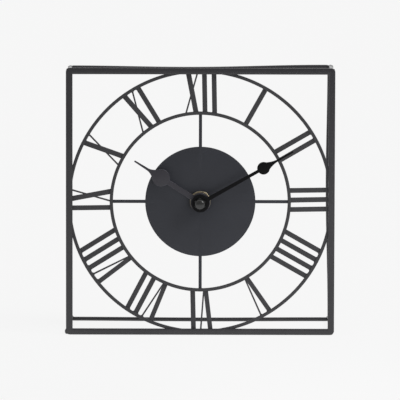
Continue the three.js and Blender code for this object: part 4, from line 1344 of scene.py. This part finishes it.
@dataclass
class Movement:
    """The battery movement: its case, the cell in its bay, the setting knob and what turns inside."""

    wall: float = 1.2 * MM  # the case's wall
    corner: float = 5 * MM  # the radius of the case's corners
    bay_top: float = 89 * MM  # the height of the underside of the cell bay's upper wall
    bay_wall: float = 1 * MM  # the thickness of that wall
    bay_corner: float = 0.1 * MM  # the radius of its corners
    edge: float = 0.5 * MM  # the radius of the case's edges
    thin_edge: float = 0.05 * MM  # the radius of its panels' edges
    panel_sink: float = 0.25 * MM  # how far the back panel lies in from the rim
    panel_corner: float = 2 * MM  # the radius of that panel's corners
    # where the front and the back panel end in the rim, as shares of the wall from outside
    panel_holds: Pair = (0.8, 0.9)
    seam: float = 0.25 * MM  # the width of the groove between the halves
    knob_hole: float = 0.95 * MM  # the radius of the hole for the setting arbor
    flutes: int = 16  # how many flutes the knob has
    flute_depth: float = 0.4 * MM  # their depth
    boss: Pair = (0.7 * MM, 1.6 * MM)  # how far the boss ring's inner and outer sides stand off the knob
    boss_draft: float = 0.1 * MM  # how much each side leans in
    # how deep it starts in the panel, and how far below the rim's back it ends
    boss_ends: Pair = (0.2 * MM, 0.02 * MM)
    # how deep the signs start in the panel, and how far they stand out of it
    relief: Pair = (0.1 * MM, 0.15 * MM)
    # where a polarity sign stands, in from the side and up from the bay's upper wall
    sign_place: Pair = (5 * MM, 4 * MM)
    sign_arm: float = 1.6 * MM  # half its length
    sign_stroke: float = 0.3 * MM  # half its width
    sign_edge: float = 0.04 * MM  # the radius of its edges
    sleeve: float = 0.12 * MM  # the thickness of the cell's film
    curl: float = 0.9 * MM  # how far the film curls over the cell's ends
    tip: Pair = (2.75 * MM, 1 * MM)  # the radius and the height of the cell's raised end
    leaf: float = 0.4 * MM  # the thickness of a contact leaf
    leaf_foot: float = 4 * MM  # half the distance between its feet
    leaf_crest: float = 1.5 * MM  # half the width of its crest
    leaf_edge: float = 0.08 * MM  # the radius of its edges

    @property
    def case(self) -> Box:
        """The box of the case's back half, which is as wide and high as the case."""
        return Box.of("movement_case_back")

    def outline(self, inset: float, hole: bool = False) -> Array:
        """The case's outline, drawn in by an inset."""
        low, high = self.case.flat
        return rectangle_loop(low + inset, high - inset, self.corner - inset, hole)

    def rim(self, front: float, back: float) -> Part:
        """The case's outer wall between two depths."""
        return plate([self.outline(0), self.outline(self.wall, hole=True)], front, back, self.edge)

    def above_bay(self, radius: float, top: float) -> Array:
        """A rounded rectangle between the case's sides, from the bay's upper wall to a height.

        Args:
            radius: The radius of its corners.
            top: The height that it reaches.

        Returns:
            The loop, as rows of x and z.
        """
        low, high = self.case.flat
        inset = self.wall * self.panel_holds[1]
        return rectangle_loop((low[0] + inset, self.bay_top), (high[0] - inset, top), radius)

    def shelf(self, front: float, back: float) -> Part:
        """The stretch of the bay's upper wall between two depths."""
        loop = self.above_bay(self.bay_corner, self.bay_top + self.bay_wall)
        return plate([loop], front, back, self.thin_edge)

    def front_half(self) -> list[Part]:
        """The dial side: rim, panel, the bay's upper wall and the threaded bushing.

        Returns:
            The half's parts.
        """
        front, split = Box.of("rubber_washer").back, self.case.front
        inside, sunk = front + self.wall, 0.1 * MM
        hole = ring_loop(Fixing.bushing_bore, 48, HUB, hole=True)
        loop = self.outline(self.wall * self.panel_holds[0])
        panel = plate([loop, hole], front + sunk, inside, self.thin_edge)
        rim = self.rim(front, split - self.seam / 2)
        return [rim, panel, self.shelf(inside, split), Fixing().thread(front)]

    def back_half(self) -> list[Part]:
        """The back: rim, sunk panel with the knob's hole, the bay's upper wall, boss ring and signs.

        Returns:
            The half's parts.
        """
        box, knob = self.case, Box.of("setting_knob")
        split, back, face = box.front, box.back, box.back - self.panel_sink
        loop = self.above_bay(self.panel_corner, box.high[2] - self.wall * self.panel_holds[1])
        hole = ring_loop(self.knob_hole, 32, knob.centre, hole=True)
        panel = plate([loop, hole], back - self.wall, face, self.thin_edge)
        inner, outer = (knob.radius + gap for gap in self.boss)
        foot, crest, draft = face - self.boss_ends[0], back - self.boss_ends[1], self.boss_draft
        profile = [(inner, foot), (outer, foot), (outer - draft, crest), (inner + draft, crest)]
        boss = turned(profile, knob.centre, loop=True)
        signs = [self.sign(side, face) for side in (-1, 1)]
        return [self.rim(split + self.seam / 2, back), panel, boss, self.shelf(split, face), *signs]

    def sign(self, side: int, face: float) -> Part:
        """A raised plus at the positive end of the bay, or a minus at the other.

        Args:
            side: 1 for the positive end, and -1 for the other.
            face: The depth of the back panel's face.

        Returns:
            The sign.
        """
        arm, half, (inset, rise) = self.sign_arm, self.sign_stroke, self.sign_place
        sunk, raised = self.relief
        centre = (side * (self.case.radius - inset), self.bay_top + rise)
        corners = np.array([(arm, -half), (arm, half), (-arm, half), (-arm, -half)])
        if side > 0:
            quarter = np.array([(half, -half), (arm, -half), (arm, half)])
            corners = np.concatenate([quarter @ np.array(Matrix.Rotation(turn * QUARTER, 2)).T
                                      for turn in range(4)])
        return plate([corners + centre], face - sunk, face + raised, self.sign_edge, steps=1)

    def knob(self) -> Part:
        """The setting knob: each ring is a circle with flutes cut in by a cosine, over a dished top.

        A row holds the ring's depth and radius, its share of the flutes' depth, and its wear.

        Returns:
            The knob.
        """
        box = Box.of("setting_knob")
        radius, front, back = box.radius, box.front, box.back
        rows = [(front, radius - 0.3 * MM, 0.5, 0), (front + 0.3 * MM, radius, 1, 1),
                (back - 0.5 * MM, radius, 1, 0), (back - 0.15 * MM, radius - 0.2 * MM, 0.9, 1),
                (back, radius - 0.6 * MM, 0.4, 1), (back, radius - 1.2 * MM, 0, 0),
                (back - 0.5 * MM, radius - 1.7 * MM, 0, 0), (back - 0.6 * MM, 1.2 * MM, 0, 0),
                (back - 0.35 * MM, 0.9 * MM, 0, 1), (back - 0.35 * MM, 0.3 * MM, 0, 0)]
        depth, reach, share, wear = np.array(rows).T[..., None]
        angles = full_turn(16 * self.flutes)
        flute = self.flute_depth / 2 * (1 - np.cos(self.flutes * angles))
        return lofted(spun(reach - share * flute, depth, angles, box.centre), loop=False, wear=wear[:, 0])

    @staticmethod
    def along_x(profile: list[Pair], box: Box) -> Part:
        """A profile of radius and place, carried round an axis along X through a box's middle."""
        matrix = Matrix.Translation((box.low + box.high) / 2) @ Matrix.Rotation(-QUARTER, 4, "Z")
        return turned(profile, np.zeros(2)).moved(matrix)

    def cell_parts(self) -> tuple[Part, Part]:
        """The cell's steel can with its raised end, and the film sleeve round it.

        Returns:
            The can and the sleeve.
        """
        box = Box.of("cell")
        half, radius, lip = box.radius, (box.back - box.front) / 2, 0.5 * MM
        (tip, height), steel = self.tip, radius - self.sleeve
        shoulder = half - height
        end, bevel = shoulder - 0.1 * MM, radius - 0.25 * MM
        can = [(steel - 1.2 * MM, -half), (steel - 0.6 * MM, -half + 0.05 * MM), (steel, -half + lip),
               (steel, shoulder - lip), (steel - lip, end), (tip + 0.4 * MM, end),
               (tip, shoulder + 0.2 * MM), (tip, half - 0.3 * MM), (tip - 0.3 * MM, half)]
        film = [(radius - self.curl, -half + self.sleeve), (bevel, -half + 0.15 * MM), (radius, -half + lip),
                (radius, shoulder - 0.3 * MM), (bevel, shoulder), (radius - self.curl, shoulder)]
        return self.along_x(can, box), self.along_x(film, box)

    def contact(self, node: str, side: int) -> Part:
        """A bent contact leaf: its feet on the bay's end wall and its crest on the cell.

        Args:
            node: The leaf's node.
            side: 1 for the positive end, and -1 for the other.

        Returns:
            The leaf.
        """
        box = Box.of(node)
        sheet, foot, flat = self.leaf, self.leaf_foot, self.leaf_crest
        wall = box.high[0] if side > 0 else -box.low[0]
        crest = Box.of("cell").radius
        under, narrow, short = crest + sheet, flat - sheet / 2, foot - 2 * sheet
        loop = [(wall, -foot), (crest, -flat), (crest, flat), (wall, foot), (wall, short),
                (under, narrow), (under, -narrow), (wall, -short)]
        corners = np.array(loop) * [side, 1] + [0, box.centre[1]]
        return plate([corners[::-side]], box.front, box.back, self.leaf_edge, steps=1)

    def build(self, shop: Workshop) -> None:
        """Makes the movement's outer pieces and dresses what stays inside.

        Args:
            shop: Makes the pieces and keeps their finishes.
        """
        finishes = shop.finishes
        shop.piece("case_front", self.front_half(), finishes.case, "movement_case_front")
        shop.piece("case_back", self.back_half(), finishes.case, "movement_case_back")
        shop.piece("set_knob", [self.knob()], finishes.wheel, "setting_knob", body=Body.SETTING)
        can, film = self.cell_parts()
        shop.piece("cell_can", [can], finishes.steel, "cell")
        shop.piece("cell_film", [film], finishes.film)
        for name, side in (("contact_positive", 1), ("contact_negative", -1)):
            shop.piece(f"{name}_leaf", [self.contact(name, side)], finishes.steel, name)
        shop.dress(finishes.case, "middle_plate")
        shop.dress(finishes.wheel, "hour_wheel", "minute_wheel", "third_wheel")
        shop.dress(finishes.steel, "centre_arbor", "coil_core", "stator", "rotor", "quartz_crystal")
        shop.dress(finishes.copper, "coil")
        shop.dress(finishes.board, "circuit_board")


@dataclass
class Studio:
    """The floor, the light and the camera."""

    background: float = 0.922  # how bright the floor and the background look
    room: float = 0.3  # how bright the room on the camera's side looks in shiny surfaces
    # the depths on the floor where the room's brightness ends and the background's begins
    floor_room: Pair = (-1.4, -0.48)
    world_room: Pair = (-0.6, 0.1)  # the same beyond the floor, as parts of a direction
    # the share of the floor's look that its own glow makes, so that its shadow stays faint
    flat: float = 0.9
    lift: float = 1.04  # how much brighter that glow is than the background, for what the shadow takes
    ambient: float = 0.4  # the strength of the even light from all round
    panel: float = 0.13  # the power of the low panel at the front, in watts
    panel_at: Triple = (0.17, -0.46, 0.07)  # the panel's place
    panel_size: Pair = (0.3, 0.06)  # its width and height
    panel_aim: Triple = (0.05, 0.0, 0.06)  # the place that it faces
    panel_spread: float = 70  # the angle of its beam, in degrees
    sun: float = 1.2  # the strength of the soft lamp
    sun_angle: float = 22  # the lamp's width, in degrees
    sun_from: Pair = (60, 40)  # the lamp's direction: degrees to the right of the dial, and up
    floor_colour: float = 0.96  # the floor's own colour
    floor_reach: float = 12  # the floor's half width
    distance: float = 3.8  # from the camera to the hub
    # the camera's turn round the clock to the right and its height, in degrees
    bearing: Pair = (-0.05, 6.785)
    roll: float = 0.136  # its roll, in degrees
    focal_pixels: float = 5101  # the focal length in pixels of the picture
    picture: int = 400  # the picture's width in pixels
    aim: Pair = (-0.23 * MM, 1.48 * MM)  # what the picture's middle shows, as x and z beside the hub

    @staticmethod
    def seen(tree: Tree) -> Socket:
        """1 for the rays of the camera, of shiny surfaces and of clear ones, and 0 for the light's own.

        Args:
            tree: The tree that the nodes go into.

        Returns:
            The 1 or 0.
        """
        rays = tree.node("ShaderNodeLightPath").outputs
        either = tree.math("MAXIMUM", rays["Is Camera Ray"], rays["Is Glossy Ray"])
        return tree.math("MAXIMUM", either, rays["Is Transmission Ray"])

    def falling(self, tree: Tree, place: Socket, depths: Pair) -> Socket:
        """The brightness that shiny surfaces see at a depth, and the background's for the camera everywhere.

        Args:
            tree: The tree that the nodes go into.
            place: A place or a direction.
            depths: Where the room's brightness ends and where the background's begins.

        Returns:
            The brightness.
        """
        level = tree.spread(tree.axis(place, "Y"), self.room, self.background, *depths)
        camera = tree.node("ShaderNodeLightPath").outputs["Is Camera Ray"]
        return tree.math("MAXIMUM", level, tree.math("MULTIPLY", camera, self.background))

    def floor(self) -> None:
        """A pale floor that keeps the clock's shadow, faint beside its own even glow."""
        mesh = bpy.data.meshes.new("floor")
        corners = np.array([(-1, -1, 0), (1, -1, 0), (1, 1, 0), (-1, 1, 0)]) * self.floor_reach
        mesh.from_pydata(corners.tolist(), [], [(0, 1, 2, 3)])
        shader = Shader("floor_paper", Specular_IOR_Level=0.0)
        paper = shader.shades(shader.soft(0.4, 2), (self.floor_colour,) * 3, 0.998, 1)
        normal = shader.bump(shader.noise(1 * MM), 0.002 * MM)
        material = shader.done(paper, shader.soft(0.05, 2, 0.85, 0.95), normal)
        level = shader.math("MULTIPLY", self.falling(shader, shader.place, self.floor_room), self.lift)
        glow = shader.node("ShaderNodeEmission", {"Strength": level}).outputs[0]
        share = shader.math("MULTIPLY", self.seen(shader), self.flat)
        mixed = shader.node("ShaderNodeMixShader", {0: share, 1: shader.surface.outputs[0], 2: glow})
        shader.join(mixed.outputs[0], shader.tree.nodes["Material Output"].inputs["Surface"])
        mesh.materials.append(material)
        floor = self.placed(mesh, Matrix())

    def world(self) -> None:
        """An even light, and the plain background that the camera and shiny surfaces see."""
        world = bpy.data.worlds.new("studio")
        bpy.context.scene.world = world
        world.use_nodes = True
        tree = Tree(world.node_tree)
        light = world.node_tree.nodes["Background"]
        direction = tree.node("ShaderNodeTexCoord").outputs["Generated"]
        shown = self.falling(tree, direction, self.world_room)
        light.inputs["Color"].default_value = (1, 1, 1, 1)
        strength = tree.spread(self.seen(tree), self.ambient, shown, start=0, end=1)
        tree.join(strength, light.inputs["Strength"])

    @staticmethod
    def placed(data: bpy.types.ID, matrix: Matrix) -> Thing:
        """Puts a mesh, a lamp or a camera into the scene under its own name.

        Args:
            data: The mesh, lamp or camera.
            matrix: Its place and turn.

        Returns:
            The object.
        """
        made = bpy.data.objects.new(data.name, data)
        made.matrix_world = matrix
        bpy.context.scene.collection.objects.link(made)
        return made

    @staticmethod
    def direction(bearing: Pair) -> Vector:
        """The way to what stands so many degrees to the right of the dial, and so many up.

        Args:
            bearing: Degrees to the right of the dial, and up.

        Returns:
            The direction, one long.
        """
        side, height = (math.radians(angle) for angle in bearing)
        level = math.cos(height)
        return Vector((math.sin(side) * level, -math.cos(side) * level, math.sin(height)))

    def lamps(self) -> None:
        """One wide soft lamp from the upper right, and a low panel in front that nothing shows."""
        lamp = bpy.data.lights.new("soft_lamp", "SUN")
        lamp.energy, lamp.angle = self.sun, math.radians(self.sun_angle)
        turn = self.direction(self.sun_from).to_track_quat("Z", "Y")
        self.placed(lamp, turn.to_matrix().to_4x4())
        panel = bpy.data.lights.new("front_panel", "AREA")
        panel.shape, panel.energy, panel.spread = "RECTANGLE", self.panel, math.radians(self.panel_spread)
        panel.size, panel.size_y = self.panel_size
        turn = (Vector(self.panel_aim) - Vector(self.panel_at)).to_track_quat("-Z", "Y")
        holder = self.placed(panel, Matrix.Translation(self.panel_at) @ turn.to_matrix().to_4x4())
        holder.visible_camera = holder.visible_glossy = False

    def camera(self) -> None:
        """The camera, set back along its bearing from the point that it is aimed at."""
        data = bpy.data.cameras.new("camera")
        data.lens = self.focal_pixels * data.sensor_width / self.picture
        data.clip_end = 100
        back = self.direction(self.bearing)
        beside, above = HUB + self.aim
        target = Vector((beside, Box.of("front_frame").front, above))
        turn = back.to_track_quat("Z", "Y").to_matrix() @ Matrix.Rotation(math.radians(self.roll), 3, "Z")
        place = Matrix.Translation(target + back * self.distance) @ turn.to_4x4()
        bpy.context.scene.camera = self.placed(data, place)

    def build(self) -> None:
        """Sets up the studio."""
        bpy.context.scene.view_settings.view_transform = "Standard"
        for step in (self.floor, self.world, self.lamps, self.camera):
            step()
        log.info("studio: floor, light and camera")


def hands(finishes: Finishes) -> list[Hand]:
    """The two hands.

    Args:
        finishes: The clock's finishes.

    Returns:
        The hour hand and the minute hand.
    """
    hour = Hand("hour_hand", Body.HOUR, finishes.hour_hand, angle=302.3, hub=7.3 * MM, stem_root=4 * MM,
                stem_end=3.6 * MM, spade=6.5 * MM, spade_at=34.6 * MM, flare=42, neck_at=46 * MM,
                neck_width=1.9 * MM, length=58 * MM, shaft=2.5 * MM, edge=0.24 * MM)
    minute = Hand("minute_hand", Body.MINUTE, finishes.minute_hand, angle=60.6, hub=6.7 * MM,
                  stem_root=3 * MM, stem_end=2.4 * MM, spade=4.7 * MM, spade_at=53.8 * MM, flare=50,
                  neck_at=65.4 * MM, neck_width=1.6 * MM, length=79 * MM, shaft=1.5 * MM, edge=0.16 * MM)
    return [hour, minute]


def main() -> None:
    """Builds the clock and its studio, piece by piece."""
    logging.basicConfig(level=logging.INFO, format="%(name)s: %(message)s")
    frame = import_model()
    Studio().build()
    shop = Workshop(frame["nodes"])
    Framework().build(shop)
    Dial().build(shop)
    Fixing().build(shop)
    for hand in hands(shop.finishes):
        hand.build(shop)
    Movement().build(shop)


if __name__ == "__main__":
    main()
